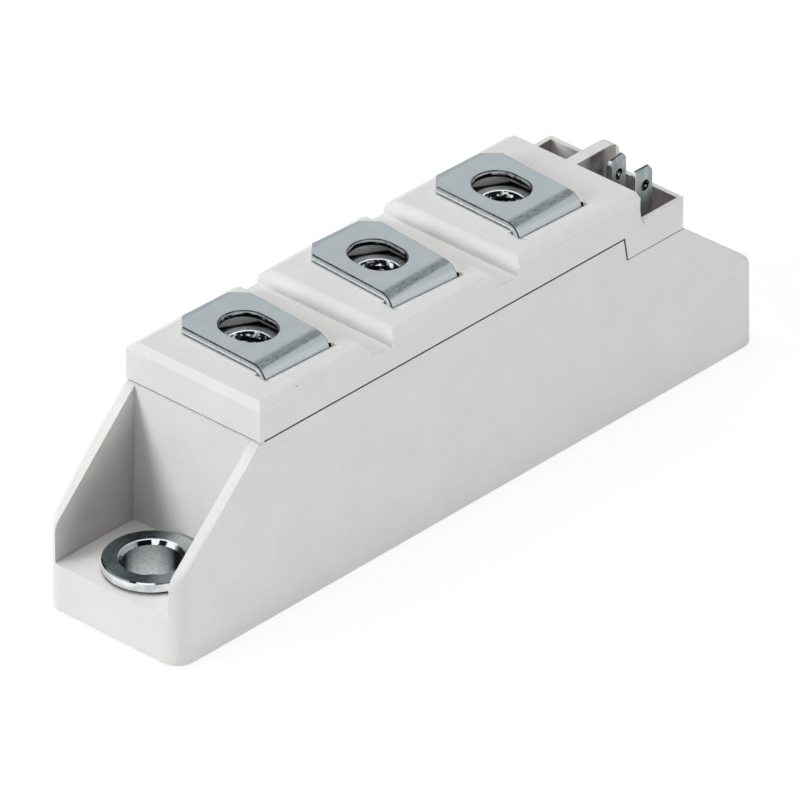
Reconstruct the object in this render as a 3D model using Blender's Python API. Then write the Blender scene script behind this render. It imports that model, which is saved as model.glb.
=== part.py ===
"""Thyristor module: a 20 mm wide power half bridge with three screw terminals and two gate tabs.

Frame: X runs along the module, with the gate tabs at +X, -Y is the long side beside the terminals'
bends, and +Z is up. The origin is under the middle of the module, on the cooling face of the base.
"""

import math

import bmesh
import bpy
from mathutils import Vector
from mathutils.geometry import interpolate_bezier

MM = 0.001
GAP = 0.3 * MM  # between pieces that touch in the real module
OVERSHOOT = 1.0 * MM  # how far a cutter runs past the face that it opens
OVERLAP = 0.2 * MM  # how deep two blocks of one moulding run into each other
FAR = 60.0 * MM  # past every piece, for cutters

# mounting holes and the outline of the moulded housing
HOLE_PITCH = 80.0 * MM
END_MARGIN = 6.5 * MM  # from a mounting hole's middle to the end of the housing
WIDTH = 20.0 * MM
CORNER_RADIUS = 2.3 * MM
DRAFT = 0.01  # how much each outer wall leans in, per unit of height
FOOT_LIFT = 0.2 * MM  # the base stands this far below the housing
JOINT_LEVEL = 22.65 * MM  # where the lid meets the housing, above the cooling face
FIN_TIP = 10.2 * MM
POCKET_FLOOR = 5.95 * MM
STEP_DEPTH = 2.8 * MM  # the joint's step down under the gate box
STEP_LEAN = 0.5 * MM
STEP_LEAD = 2.2 * MM  # from the step's top to the gate box
FRONT_PLAY = 0.63 * MM  # between the front flange and the wall behind it
REAR_PLAY = 0.3 * MM
FIN_THICKNESS = 1.23 * MM  # at the joint, thicker below it because both its faces lean
CHAMBER_WALL = 1.9 * MM
SIDE_WALL = 1.3 * MM  # around the base
END_WALL = 1.6 * MM

# lid
LAND_HEIGHT = 4.55 * MM  # from the joint to the top of the lands
FRONT_LIP = 0.44 * MM  # the lid's front stands this far behind the pocket's wall
LID_INSET = 0.1 * MM
CHAMFER_DROP = 0.55 * MM
CHAMFER_WIDTH = 1.6 * MM
FRONT_CHAMFER = 1.75 * MM
GROOVE_DEPTH = 1.6 * MM
GROOVE_WIDTH = 3.2 * MM
GROOVE_LEAD = 3.05 * MM  # from a groove's front to the middle between two terminals
LAND_RADIUS = 1.5 * MM
WALL_LEAN = 0.5 * MM
ROOF = 3.2 * MM
PLUG_DEPTH = 2.4 * MM
SKIRT = 0.9 * MM

# open box of the gate tabs
BOX_LENGTH = 7.0 * MM
BOX_WALL = 0.68 * MM
BOX_RADIUS = 1.0 * MM
BOX_FLOOR = 1.6 * MM
RIM_DROP = 3.4 * MM  # the box's rim stands this far below the lands
DIVIDER_NEAR = -0.3 * MM
DIVIDER_FAR = 1.3 * MM
DIVIDER_RADIUS = 2.2 * MM

# terminals, their screw slots and nuts
TERMINAL_PITCH = 20.0 * MM
MIDDLE_TERMINAL = -3.0 * MM
PLATE_WIDTH = 10.1 * MM
PLATE_THICKNESS = 0.85 * MM
PLATE_FAR_EDGE = 7.9 * MM
PLATE_NEAR_FACE = -5.9 * MM
PLATE_CORNER = 1.7 * MM
BEND_RADIUS = 1.8 * MM
FOOT_RADIUS = 1.4 * MM
LEG_WIDTH = 6.0 * MM
NECK_RISE = 0.5 * MM  # the leg is narrow up to this far above the plug's edge
FOOT_END = -2.5 * MM
SCREW_SLOT_RADIUS = 2.75 * MM
SCREW_SLOT_STRAIGHT = 1.5 * MM
SCREW_Y = 1.3 * MM
NUT_FLATS = 8.0 * MM
NUT_THICKNESS = 4.0 * MM
NUT_BORE = 4.2 * MM
NUT_DROP = 0.2 * MM
SCREW_ROOM = 3.3 * MM  # below the nut, for the screw's tip
BOSS_WALL = 1.3 * MM
BOSS_END_WALL = 0.45 * MM
BOSS_FLOOR = 1.0 * MM

# base and the layers on it
BASE_THICKNESS = 3.0 * MM
BASE_HOLE = 6.4 * MM
CERAMIC_THICKNESS = 0.65 * MM
CERAMIC_MARGIN = 0.6 * MM
TRACK_THICKNESS = 0.3 * MM
TRACK_MARGIN = 0.6 * MM
FOOT_MARGIN = 0.75 * MM  # from a terminal's foot to the edge of the middle track
CHANNEL = 0.6 * MM  # bare ceramic between tracks
CHIP_THICKNESS = 0.3 * MM
CHIP_PLAY = 0.65 * MM  # from a chip to what is soldered down beside it
CHIP_RIM = 1.0 * MM  # edge of a chip that no contact covers
CLIP_THICKNESS = 0.5 * MM
CLIP_WIDTH = 3.0 * MM
CLIP_FOOT = 2.2 * MM
CLIP_INSET = 0.3 * MM  # from a clip's side to the edge of its chip
CLIP_PLAY = 0.5 * MM  # from a clip to the terminal's foot beside it

# bushings
FLANGE_DIAMETER = 11.0 * MM
FLANGE_THICKNESS = 1.1 * MM
TUBE_DIAMETER = 8.4 * MM
BUSHING_BORE = 6.4 * MM
BEVEL_DIAMETER = 7.8 * MM

# gate tabs and their leads
TAB_WIDTH = 2.8 * MM
TAB_THICKNESS = 0.8 * MM
TAB_LENGTH = 12.3 * MM
TAB_RISE = 1.3 * MM  # above the lands
TAB_CORNER = 0.8 * MM
TAB_HOLE = 1.3 * MM
TAB_HOLE_DROP = 2.9 * MM
TAB_MARGIN = 1.87 * MM  # from the box's near wall to the tab beside it
TAB_SPACING = 3.75 * MM
LEAD_DIAMETER = 1.0 * MM
SHORT_BEND = 2.0 * MM
LONG_BEND = 8.0 * MM

# stations along the module that follow
LENGTH = HOLE_PITCH + 2 * END_MARGIN
FRONT_WALL = FLANGE_DIAMETER / 2 + FRONT_PLAY - HOLE_PITCH / 2
REAR_WALL = HOLE_PITCH / 2 - FLANGE_DIAMETER / 2 - REAR_PLAY
LID_FRONT = FRONT_WALL + FRONT_LIP
LID_REAR = REAR_WALL
BOX_FRONT = LID_REAR - BOX_LENGTH
BOX_REAR = LID_REAR - BOX_WALL
STEP_TOP = BOX_FRONT - STEP_LEAD
STEP_FOOT = STEP_TOP + STEP_LEAN
CHAMBER_FRONT = FRONT_WALL + CHAMBER_WALL
CHAMBER_REAR = REAR_WALL - CHAMBER_WALL
TERMINALS = [MIDDLE_TERMINAL + place * TERMINAL_PITCH for place in (-1, 0, 1)]
CHIP_ROOM = TERMINAL_PITCH - LEG_WIDTH - FOOT_MARGIN - CHANNEL - TRACK_MARGIN - CLIP_FOOT
CHIP_SIDE = CHIP_ROOM - 2 * CHIP_PLAY
CHIP_OFFSET = LEG_WIDTH / 2 + CHIP_PLAY + CHIP_SIDE / 2
DIODE_X = TERMINALS[0] + CHIP_OFFSET
THYRISTOR_X = TERMINALS[2] - CHIP_OFFSET
TAB_X = (BOX_FRONT + BOX_REAR) / 2
CERAMIC_FRONT = CHAMBER_FRONT + CERAMIC_MARGIN
CERAMIC_REAR = CHAMBER_REAR - CERAMIC_MARGIN

# widths that follow
LID_HALF_WIDTH = WIDTH / 2 - LID_INSET
CHAMBER_HALF_WIDTH = WIDTH / 2 - CHAMBER_WALL
CERAMIC_HALF_WIDTH = CHAMBER_HALF_WIDTH - CERAMIC_MARGIN
TRACK_HALF_WIDTH = CERAMIC_HALF_WIDTH - TRACK_MARGIN
CHIP_Y = TRACK_HALF_WIDTH - TRACK_MARGIN - CHIP_SIDE / 2
MID_CLIP_Y = CHIP_Y + (CHIP_SIDE - CLIP_WIDTH) / 2 - CLIP_INSET
MINUS_CLIP_Y = FOOT_END + CLIP_PLAY + CLIP_WIDTH / 2
POCKET_FLATS = NUT_FLATS + 2 * GAP
CATHODE_TAB_Y = BOX_WALL - LID_HALF_WIDTH + TAB_MARGIN + TAB_THICKNESS / 2
GATE_TAB_Y = CATHODE_TAB_Y + TAB_SPACING

# levels that follow
HOUSING_TOP = JOINT_LEVEL - GAP / 2
LID_BOTTOM = JOINT_LEVEL + GAP / 2
STEP_LEVEL = JOINT_LEVEL - STEP_DEPTH
LID_TOP = JOINT_LEVEL + LAND_HEIGHT
CHAMFER_LEVEL = LID_TOP - CHAMFER_DROP
GROOVE_FLOOR = LID_TOP - GROOVE_DEPTH
LID_CEILING = LID_TOP - ROOF
PLUG_BOTTOM = LID_BOTTOM - PLUG_DEPTH
RIM_LEVEL = LID_TOP - RIM_DROP
BOX_FLOOR_LEVEL = STEP_LEVEL + GAP / 2 + BOX_FLOOR
CAVITY_BOTTOM = BASE_THICKNESS + GAP
TRACK_BOTTOM = CAVITY_BOTTOM + CERAMIC_THICKNESS + GAP
CHIP_BOTTOM = TRACK_BOTTOM + TRACK_THICKNESS + GAP
CLIP_BOTTOM = CHIP_BOTTOM + CHIP_THICKNESS + GAP
FLANGE_BOTTOM = POCKET_FLOOR + GAP
FLANGE_TOP = FLANGE_BOTTOM + FLANGE_THICKNESS
PLATE_BOTTOM = LID_TOP + GAP
PLATE_TOP = PLATE_BOTTOM + PLATE_THICKNESS
NUT_TOP = LID_TOP - NUT_DROP
NUT_POCKET_FLOOR = NUT_TOP - NUT_THICKNESS - GAP
BOSS_BOTTOM = NUT_POCKET_FLOOR - SCREW_ROOM - BOSS_FLOOR
TAB_TOP = LID_TOP + TAB_RISE
TAB_BOTTOM = TAB_TOP - TAB_LENGTH

# slopes that follow
FRONT_SLOPE = (JOINT_LEVEL - FIN_TIP) / (LENGTH / 2 + LID_FRONT)
REAR_SLOPE = (STEP_LEVEL - FIN_TIP) / (LENGTH / 2 - LID_REAR)


def clear_scene():
    for item in list(bpy.data.objects):
        bpy.data.objects.remove(item, do_unlink=True)


def plastic(name, red, green, blue, roughness=0.5):
    return material(name, (red, green, blue), roughness, 0.0)


def material(name, colour, roughness, metallic):
    made = bpy.data.materials.new(name)
    made.use_nodes = True
    shader = made.node_tree.nodes["Principled BSDF"]
    shader.inputs["Base Color"].default_value = (*colour, 1.0)
    shader.inputs["Roughness"].default_value = roughness
    shader.inputs["Metallic"].default_value = metallic
    made.diffuse_color = (*colour, 1.0)
    return made


def placed(name, shape, look=None):
    """The bmesh as a new object with its normals facing out."""
    bmesh.ops.recalc_face_normals(shape, faces=shape.faces)
    mesh = bpy.data.meshes.new(name)
    shape.to_mesh(mesh)
    shape.free()
    item = bpy.data.objects.new(name, mesh)
    bpy.context.scene.collection.objects.link(item)
    if look:
        mesh.materials.append(look)
    return item


def prism(name, outline, axis, start, end, look=None):
    """A flat outline pushed along an axis. The outline's two coordinates are the other two axes, in order."""
    shape = bmesh.new()
    index = "xyz".index(axis)
    corners = []
    for first, second in outline:
        place = [first, second]
        place.insert(index, start)
        corners.append(shape.verts.new(place))
    base = shape.faces.new(corners)
    pushed = bmesh.ops.extrude_face_region(shape, geom=[base])["geom"]
    way = [0.0, 0.0, 0.0]
    way[index] = end - start
    moved = [item for item in pushed if isinstance(item, bmesh.types.BMVert)]
    bmesh.ops.translate(shape, verts=moved, vec=way)
    return placed(name, shape, look)


def box(name, x_range, y_range, z_range, look=None):
    outline = [
        (x_range[0], y_range[0]),
        (x_range[1], y_range[0]),
        (x_range[1], y_range[1]),
        (x_range[0], y_range[1]),
    ]
    return prism(name, outline, "z", z_range[0], z_range[1], look)


def tapered(name, low, low_z, high, high_z, look=None):
    """A block between two outlines with the same number of points."""
    shape = bmesh.new()
    lower = [shape.verts.new((x, y, low_z)) for x, y in low]
    upper = [shape.verts.new((x, y, high_z)) for x, y in high]
    shape.faces.new(lower)
    shape.faces.new(upper)
    count = len(low)
    for place in range(count):
        after = (place + 1) % count
        shape.faces.new((lower[place], lower[after], upper[after], upper[place]))
    return placed(name, shape, look)


def turned(name, profile, x, y, look=None, steps=48):
    """A closed profile of (radius, z) points spun round a vertical axis."""
    shape = bmesh.new()
    points = [shape.verts.new((x + radius, y, z)) for radius, z in profile]
    edges = [shape.edges.new((points[i], points[(i + 1) % len(points)])) for i in range(len(points))]
    bmesh.ops.spin(
        shape, geom=points + edges, cent=(x, y, 0), axis=(0, 0, 1), angle=2 * math.pi, steps=steps
    )
    bmesh.ops.remove_doubles(shape, verts=shape.verts, dist=1e-7)
    item = placed(name, shape, look)
    item.data.shade_smooth()
    item.data.set_sharp_from_angle(angle=math.radians(30))
    return item


def arc(centre_x, centre_y, radius, start, end, steps=6):
    """Points on an arc, angles in degrees."""
    angles = [math.radians(start + (end - start) * step / steps) for step in range(steps + 1)]
    return [(centre_x + radius * math.cos(a), centre_y + radius * math.sin(a)) for a in angles]


def rounded(half_x, half_y, radius, steps=6):
    x, y = half_x - radius, half_y - radius
    return (
        arc(x, y, radius, 0, 90, steps)
        + arc(-x, y, radius, 90, 180, steps)
        + arc(-x, -y, radius, 180, 270, steps)
        + arc(x, -y, radius, 270, 360, steps)
    )


def circle(x, y, radius, steps=32):
    return arc(x, y, radius, 0, 360 - 360 / steps, steps - 1)


def hexagon(x, y, flats):
    return arc(x, y, flats / math.sqrt(3), 30, 330, 5)


def stadium(x, y, radius, straight):
    """A slot with round ends, its straight sides along Y."""
    half = straight / 2
    return arc(x, y + half, radius, 0, 180, 12) + arc(x, y - half, radius, 180, 360, 12)


def combine(body, other, operation):
    step = body.modifiers.new(other.name, "BOOLEAN")
    step.operation = operation
    step.solver = "EXACT"
    step.object = other
    other.hide_render = True
    other.display_type = "WIRE"


def cut(body, *cutters):
    for cutter in cutters:
        combine(body, cutter, "DIFFERENCE")


def join(body, *others):
    for other in others:
        combine(body, other, "UNION")


def keep(body, other):
    combine(body, other, "INTERSECT")


def housing(look):
    """Open frame with sloping fins and a pocket at each end, moulded with leaning walls."""
    lean = DRAFT * (HOUSING_TOP - FOOT_LIFT)
    foot = rounded(LENGTH / 2, WIDTH / 2, CORNER_RADIUS)
    head = rounded(LENGTH / 2 - lean, WIDTH / 2 - lean, CORNER_RADIUS)
    body = tapered("housing", foot, FOOT_LIFT, head, HOUSING_TOP, look)

    front_drop = FRONT_SLOPE * (FAR + LID_FRONT)
    front = [(LID_FRONT, FAR), (LID_FRONT, HOUSING_TOP), (-FAR, HOUSING_TOP - front_drop), (-FAR, FAR)]
    cut(body, prism("front_slope", front, "y", -FAR, FAR))
    step = STEP_LEVEL - GAP / 2
    rear_drop = REAR_SLOPE * (FAR - LID_REAR)
    rear = [(STEP_TOP - GAP / 2, FAR), (STEP_TOP - GAP / 2, HOUSING_TOP), (STEP_FOOT - GAP / 2, step)]
    rear += [(LID_REAR, step), (FAR, step - rear_drop), (FAR, FAR)]
    cut(body, prism("rear_slope", rear, "y", -FAR, FAR))

    high = HOUSING_TOP + OVERSHOOT
    half_low = WIDTH / 2 - DRAFT * POCKET_FLOOR - FIN_THICKNESS - 2 * DRAFT * (JOINT_LEVEL - POCKET_FLOOR)
    half_high = half_low + DRAFT * (high - POCKET_FLOOR)
    for name, inner, outer in (("front_pocket", FRONT_WALL, -FAR), ("rear_pocket", REAR_WALL, FAR)):
        low = [(inner, -half_low), (outer, -half_low), (outer, half_low), (inner, half_low)]
        top = [(inner, -half_high), (outer, -half_high), (outer, half_high), (inner, half_high)]
        cut(body, tapered(name, low, POCKET_FLOOR, top, high))

    chamber = (-CHAMBER_HALF_WIDTH, CHAMBER_HALF_WIDTH)
    cut(body, box("chamber", (CHAMBER_FRONT, CHAMBER_REAR), chamber, (BASE_THICKNESS, FAR)))
    recess = rounded(LENGTH / 2 - END_WALL, WIDTH / 2 - SIDE_WALL, CORNER_RADIUS - SIDE_WALL)
    cut(body, prism("base_recess", recess, "z", -FAR, CAVITY_BOTTOM))
    for name, side in (("front_bush_hole", -1), ("rear_bush_hole", 1)):
        hole = circle(side * HOLE_PITCH / 2, 0, TUBE_DIAMETER / 2 + GAP)
        cut(body, prism(name, hole, "z", 0, POCKET_FLOOR + OVERSHOOT))
    return body


def lid_profile():
    """The lid's outline seen from the side: three lands, two grooves and the stepped underside."""
    points = [(LID_FRONT, LID_BOTTOM), (LID_FRONT, CHAMFER_LEVEL), (LID_FRONT + FRONT_CHAMFER, LID_TOP)]
    for before, after in zip(TERMINALS, TERMINALS[1:]):
        start = (before + after) / 2 - GROOVE_LEAD
        end = start + GROOVE_WIDTH
        points += [(start - WALL_LEAN, LID_TOP), (start, GROOVE_FLOOR)]
        points += [(end, GROOVE_FLOOR)]
        points += arc(end + LAND_RADIUS, LID_TOP - LAND_RADIUS, LAND_RADIUS, 180, 90)
    points += [(LID_REAR, LID_TOP), (LID_REAR, STEP_LEVEL + GAP / 2)]
    points += [(STEP_FOOT + GAP / 2, STEP_LEVEL + GAP / 2), (STEP_TOP + GAP / 2, LID_BOTTOM)]
    return points


def lid(look):
    """Lid with a raised land under each terminal and the open box of the gate tabs at its rear end."""
    half = LID_HALF_WIDTH
    body = prism("lid", lid_profile(), "y", -half, half, look)

    slope = (LID_TOP - CHAMFER_LEVEL) / CHAMFER_WIDTH
    for name, side in (("near_chamfer", -1), ("far_chamfer", 1)):
        inner = half - 2 * CHAMFER_WIDTH
        outer = half + CHAMFER_WIDTH
        high = LID_TOP + CHAMFER_WIDTH * slope
        low = CHAMFER_LEVEL - CHAMFER_WIDTH * slope
        outline = [(side * inner, high), (side * outer, low), (side * outer, FAR), (side * inner, FAR)]
        cut(body, prism(name, outline, "x", -FAR, FAR))

    inside = half - BOX_WALL
    floor = BOX_FLOOR_LEVEL
    near = [(-inside, floor), (DIVIDER_NEAR, floor), (DIVIDER_NEAR, FAR)]
    near += [(-FAR, FAR), (-FAR, RIM_LEVEL), (-inside, RIM_LEVEL)]
    cut(body, prism("near_compartment", near, "x", BOX_FRONT, BOX_REAR))
    far = [(DIVIDER_FAR, floor), (inside, floor), (inside, RIM_LEVEL)]
    far += [(FAR, RIM_LEVEL), (FAR, FAR), (DIVIDER_FAR, FAR)]
    cut(body, prism("far_compartment", far, "x", BOX_FRONT, BOX_REAR))
    behind = (BOX_REAR - OVERLAP, FAR)
    cut(body, box("near_rim", behind, (-FAR, DIVIDER_NEAR), (RIM_LEVEL, FAR)))
    cut(body, box("far_rim", behind, (DIVIDER_FAR, FAR), (RIM_LEVEL, FAR)))

    top = LID_TOP - DIVIDER_RADIUS
    nose = arc(LID_REAR - DIVIDER_RADIUS, top, DIVIDER_RADIUS, 90, 0)
    nose += [(LID_REAR + OVERSHOOT, top), (LID_REAR + OVERSHOOT, FAR), (LID_REAR - DIVIDER_RADIUS, FAR)]
    cut(body, prism("divider_nose", nose, "y", DIVIDER_NEAR - OVERLAP, DIVIDER_FAR + OVERLAP))

    corner_x, corner_y, beyond = LID_REAR - BOX_RADIUS, half - BOX_RADIUS, half + OVERSHOOT
    plan = [(-FAR, -beyond), (corner_x, -beyond)]
    plan += arc(corner_x, -corner_y, BOX_RADIUS, 270, 360)
    plan += arc(corner_x, corner_y, BOX_RADIUS, 0, 90)
    plan += [(corner_x, beyond), (-FAR, beyond)]
    keep(body, prism("box_outline", plan, "z", 0, FAR))

    outer = CHAMBER_HALF_WIDTH - GAP
    front = CHAMBER_FRONT + GAP
    rear = STEP_TOP - 2 * GAP
    join(body, box("plug", (front, rear), (-outer, outer), (PLUG_BOTTOM, LID_BOTTOM + OVERLAP)))
    inner = outer - SKIRT
    hollow = (PLUG_BOTTOM - OVERSHOOT, LID_CEILING)
    cut(body, box("plug_hollow", (front + SKIRT, rear - SKIRT), (-inner, inner), hollow))

    half_x = POCKET_FLATS / 2 + BOSS_WALL
    half_y = POCKET_FLATS / math.sqrt(3) + BOSS_END_WALL
    boss_y = (SCREW_Y - half_y, SCREW_Y + half_y)
    boss_z = (BOSS_BOTTOM, LID_CEILING + OVERLAP)
    for number, x in enumerate(TERMINALS, 1):
        join(body, box(f"boss_{number}", (x - half_x, x + half_x), boss_y, boss_z))
    tip_z = (BOSS_BOTTOM + BOSS_FLOOR, NUT_POCKET_FLOOR + OVERLAP)
    for number, x in enumerate(TERMINALS, 1):
        pocket = hexagon(x, SCREW_Y, POCKET_FLATS)
        cut(body, prism(f"nut_pocket_{number}", pocket, "z", NUT_POCKET_FLOOR, FAR))
        cut(body, prism(f"screw_room_{number}", circle(x, SCREW_Y, SCREW_SLOT_RADIUS, 24), "z", *tip_z))
        slot_x = (x - PLATE_WIDTH / 2 - GAP, x + PLATE_WIDTH / 2 + GAP)
        slot_y = (PLATE_NEAR_FACE - GAP, PLATE_NEAR_FACE + PLATE_THICKNESS + GAP)
        cut(body, box(f"leg_slot_{number}", slot_x, slot_y, (PLUG_BOTTOM, FAR)))
    for name, y in (("gate_slot", GATE_TAB_Y), ("cathode_slot", CATHODE_TAB_Y)):
        slot_x = (TAB_X - TAB_WIDTH / 2 - GAP, TAB_X + TAB_WIDTH / 2 + GAP)
        slot_y = (y - TAB_THICKNESS / 2 - GAP, y + TAB_THICKNESS / 2 + GAP)
        cut(body, box(name, slot_x, slot_y, (STEP_LEVEL - OVERSHOOT, floor + OVERSHOOT)))
    return body


def base_plate(look):
    """Copper base that carries the heat, with the two mounting holes."""
    half_x = LENGTH / 2 - END_WALL - GAP
    half_y = WIDTH / 2 - SIDE_WALL - GAP
    outline = rounded(half_x, half_y, CORNER_RADIUS - SIDE_WALL - GAP / 2, 4)
    body = prism("base_plate", outline, "z", 0, BASE_THICKNESS, look)
    for name, side in (("front_screw_hole", -1), ("rear_screw_hole", 1)):
        hole = circle(side * HOLE_PITCH / 2, 0, BASE_HOLE / 2)
        cut(body, prism(name, hole, "z", -OVERSHOOT, BASE_THICKNESS + OVERSHOOT))
    return body


def bushing(name, x, look):
    """Turned steel sleeve with a flange, which takes the mounting screw's force down to the base."""
    bore = BUSHING_BORE / 2
    tube = TUBE_DIAMETER / 2
    flange = FLANGE_DIAMETER / 2
    bevel = BEVEL_DIAMETER / 2
    profile = [(tube, CAVITY_BOTTOM), (tube, FLANGE_BOTTOM), (flange, FLANGE_BOTTOM), (flange, FLANGE_TOP)]
    profile += [(bevel, FLANGE_TOP), (bore, FLANGE_TOP - (bevel - bore)), (bore, CAVITY_BOTTOM)]
    return turned(name, profile, x, 0, look)


def terminal(number, x, look):
    """Sheet terminal: slotted plate over the nut, bent down through the lid to a foot on its track."""
    top, under = PLATE_TOP, PLATE_BOTTOM
    near, inner = PLATE_NEAR_FACE, PLATE_NEAR_FACE + PLATE_THICKNESS
    foot_low = CHIP_BOTTOM
    foot_high = CHIP_BOTTOM + PLATE_THICKNESS
    small_bend = BEND_RADIUS - PLATE_THICKNESS
    small_foot = FOOT_RADIUS - PLATE_THICKNESS
    outline = [(PLATE_FAR_EDGE, under), (PLATE_FAR_EDGE, top)]
    outline += arc(near + BEND_RADIUS, top - BEND_RADIUS, BEND_RADIUS, 90, 180)
    outline += arc(near + FOOT_RADIUS, foot_low + FOOT_RADIUS, FOOT_RADIUS, 180, 270, 4)
    outline += [(FOOT_END, foot_low), (FOOT_END, foot_high)]
    outline += arc(inner + small_foot, foot_high + small_foot, small_foot, 270, 180, 4)
    outline += arc(inner + small_bend, under - small_bend, small_bend, 180, 90)
    name = f"terminal_{number}"
    half = PLATE_WIDTH / 2
    body = prism(name, outline, "x", x - half, x + half, look)

    reach = PLATE_CORNER + 2 * OVERSHOOT
    for side in (-1, 1):
        outer_x, outer_y = x + side * (half + OVERSHOOT), PLATE_FAR_EDGE + OVERSHOOT
        corner = [(outer_x - side * reach, outer_y), (outer_x, outer_y), (outer_x, outer_y - reach)]
        cut(body, prism(f"{name}_corner_{side}", corner, "z", LID_TOP, FAR))
        narrow = sorted((x + side * LEG_WIDTH / 2, x + side * FAR))
        cut(body, box(f"{name}_neck_{side}", narrow, (-FAR, FAR), (0, PLUG_BOTTOM + NECK_RISE)))
    slot = stadium(x, SCREW_Y, SCREW_SLOT_RADIUS, SCREW_SLOT_STRAIGHT)
    cut(body, prism(f"{name}_slot", slot, "z", LID_TOP, FAR))
    return body


def nut(number, x, look):
    """M5 nut held loose in the lid. Its thread is left as the plain core diameter."""
    body = prism(f"nut_{number}", hexagon(x, SCREW_Y, NUT_FLATS), "z", NUT_TOP - NUT_THICKNESS, NUT_TOP, look)
    cut(body, prism(f"nut_bore_{number}", circle(x, SCREW_Y, NUT_BORE / 2, 24), "z", 0, FAR))
    return body


def tab(name, y, look):
    """Flat push-on tab, 2.8 x 0.8, with a clipped top and a locking hole."""
    half = TAB_WIDTH / 2
    outline = [(TAB_X - half, TAB_BOTTOM), (TAB_X + half, TAB_BOTTOM)]
    outline += [(TAB_X + half, TAB_TOP - TAB_CORNER), (TAB_X + half - TAB_CORNER, TAB_TOP)]
    outline += [(TAB_X - half + TAB_CORNER, TAB_TOP), (TAB_X - half, TAB_TOP - TAB_CORNER)]
    body = prism(name, outline, "y", y - TAB_THICKNESS / 2, y + TAB_THICKNESS / 2, look)
    hole = circle(TAB_X, TAB_TOP - TAB_HOLE_DROP, TAB_HOLE / 2, 20)
    cut(body, prism(f"{name}_hole", hole, "y", y - TAB_THICKNESS, y + TAB_THICKNESS))
    return body


def lead(name, start, drop, end, rise, look):
    """Insulated round wire that leaves its start downwards and comes down on its end."""
    curve = bpy.data.curves.new(name, "CURVE")
    curve.dimensions = "3D"
    curve.bevel_depth = LEAD_DIAMETER / 2
    curve.bevel_resolution = 2
    curve.use_fill_caps = True
    below = start - Vector((0, 0, drop))
    above = end + Vector((0, 0, rise))
    route = interpolate_bezier(start, below, above, end, 16)
    line = curve.splines.new("POLY")
    line.points.add(len(route) - 1)
    for point, place in zip(line.points, route):
        point.co = (*place, 1.0)
    curve.materials.append(look)
    item = bpy.data.objects.new(name, curve)
    bpy.context.scene.collection.objects.link(item)
    return item


def chip(name, x, look):
    half = CHIP_SIDE / 2
    across = (CHIP_Y - half, CHIP_Y + half)
    return box(name, (x - half, x + half), across, (CHIP_BOTTOM, CHIP_BOTTOM + CHIP_THICKNESS), look)


def clip(name, contact, foot, y, look):
    """Strap lying on a chip at the contact end, bridging to a lower foot on the next track."""
    low, high = CLIP_BOTTOM, CLIP_BOTTOM + CLIP_THICKNESS
    foot_low, foot_high = CHIP_BOTTOM, CHIP_BOTTOM + CLIP_THICKNESS
    foot_start, foot_end = foot
    knee = foot_start - math.copysign(low - foot_low, foot_end - foot_start)
    outline = [(contact, low), (contact, high), (knee, high), (foot_start, foot_high), (foot_end, foot_high)]
    outline += [(foot_end, foot_low), (foot_start, foot_low), (knee, low)]
    return prism(name, outline, "y", y - CLIP_WIDTH / 2, y + CLIP_WIDTH / 2, look)


def circuit(ceramic, copper, silicon, insulation):
    """The insulated circuit on the base: ceramic, three tracks, two chips, their clips and the gate leads."""
    across = (-CERAMIC_HALF_WIDTH, CERAMIC_HALF_WIDTH)
    layer = (CAVITY_BOTTOM, CAVITY_BOTTOM + CERAMIC_THICKNESS)
    box("substrate", (CERAMIC_FRONT, CERAMIC_REAR), across, layer, ceramic)

    track_y = (-TRACK_HALF_WIDTH, TRACK_HALF_WIDTH)
    track_z = (TRACK_BOTTOM, TRACK_BOTTOM + TRACK_THICKNESS)
    minus_half = LEG_WIDTH / 2 + FOOT_MARGIN
    minus_front, minus_rear = MIDDLE_TERMINAL - minus_half, MIDDLE_TERMINAL + minus_half
    mid_rear, plus_front = minus_front - CHANNEL, minus_rear + CHANNEL
    box("track_mid", (CERAMIC_FRONT + TRACK_MARGIN, mid_rear), track_y, track_z, copper)
    box("track_minus", (minus_front, minus_rear), track_y, track_z, copper)
    box("track_plus", (plus_front, CERAMIC_REAR - TRACK_MARGIN), track_y, track_z, copper)

    chip("diode_chip", DIODE_X, silicon)
    chip("thyristor_chip", THYRISTOR_X, silicon)
    reach = CHIP_SIDE / 2 - CHIP_RIM
    mid_foot = (mid_rear - TRACK_MARGIN, mid_rear - TRACK_MARGIN - CLIP_FOOT)
    clip("mid_clip", THYRISTOR_X + reach, mid_foot, MID_CLIP_Y, copper)
    minus_foot = (minus_front + TRACK_MARGIN, minus_front + TRACK_MARGIN + CLIP_FOOT)
    clip("minus_clip", DIODE_X - reach, minus_foot, MINUS_CLIP_Y, copper)

    lead_top = TAB_BOTTOM - GAP
    gate_start = Vector((TAB_X, GATE_TAB_Y, lead_top))
    gate_end = Vector((THYRISTOR_X + reach, CHIP_Y - reach, CLIP_BOTTOM))
    lead("gate_lead", gate_start, SHORT_BEND, gate_end, LONG_BEND, insulation)
    cathode_start = Vector((TAB_X, CATHODE_TAB_Y, lead_top))
    cathode_end = Vector((THYRISTOR_X, MID_CLIP_Y, CLIP_BOTTOM + CLIP_THICKNESS + GAP))
    lead("cathode_lead", cathode_start, LONG_BEND, cathode_end, SHORT_BEND, insulation)


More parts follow.
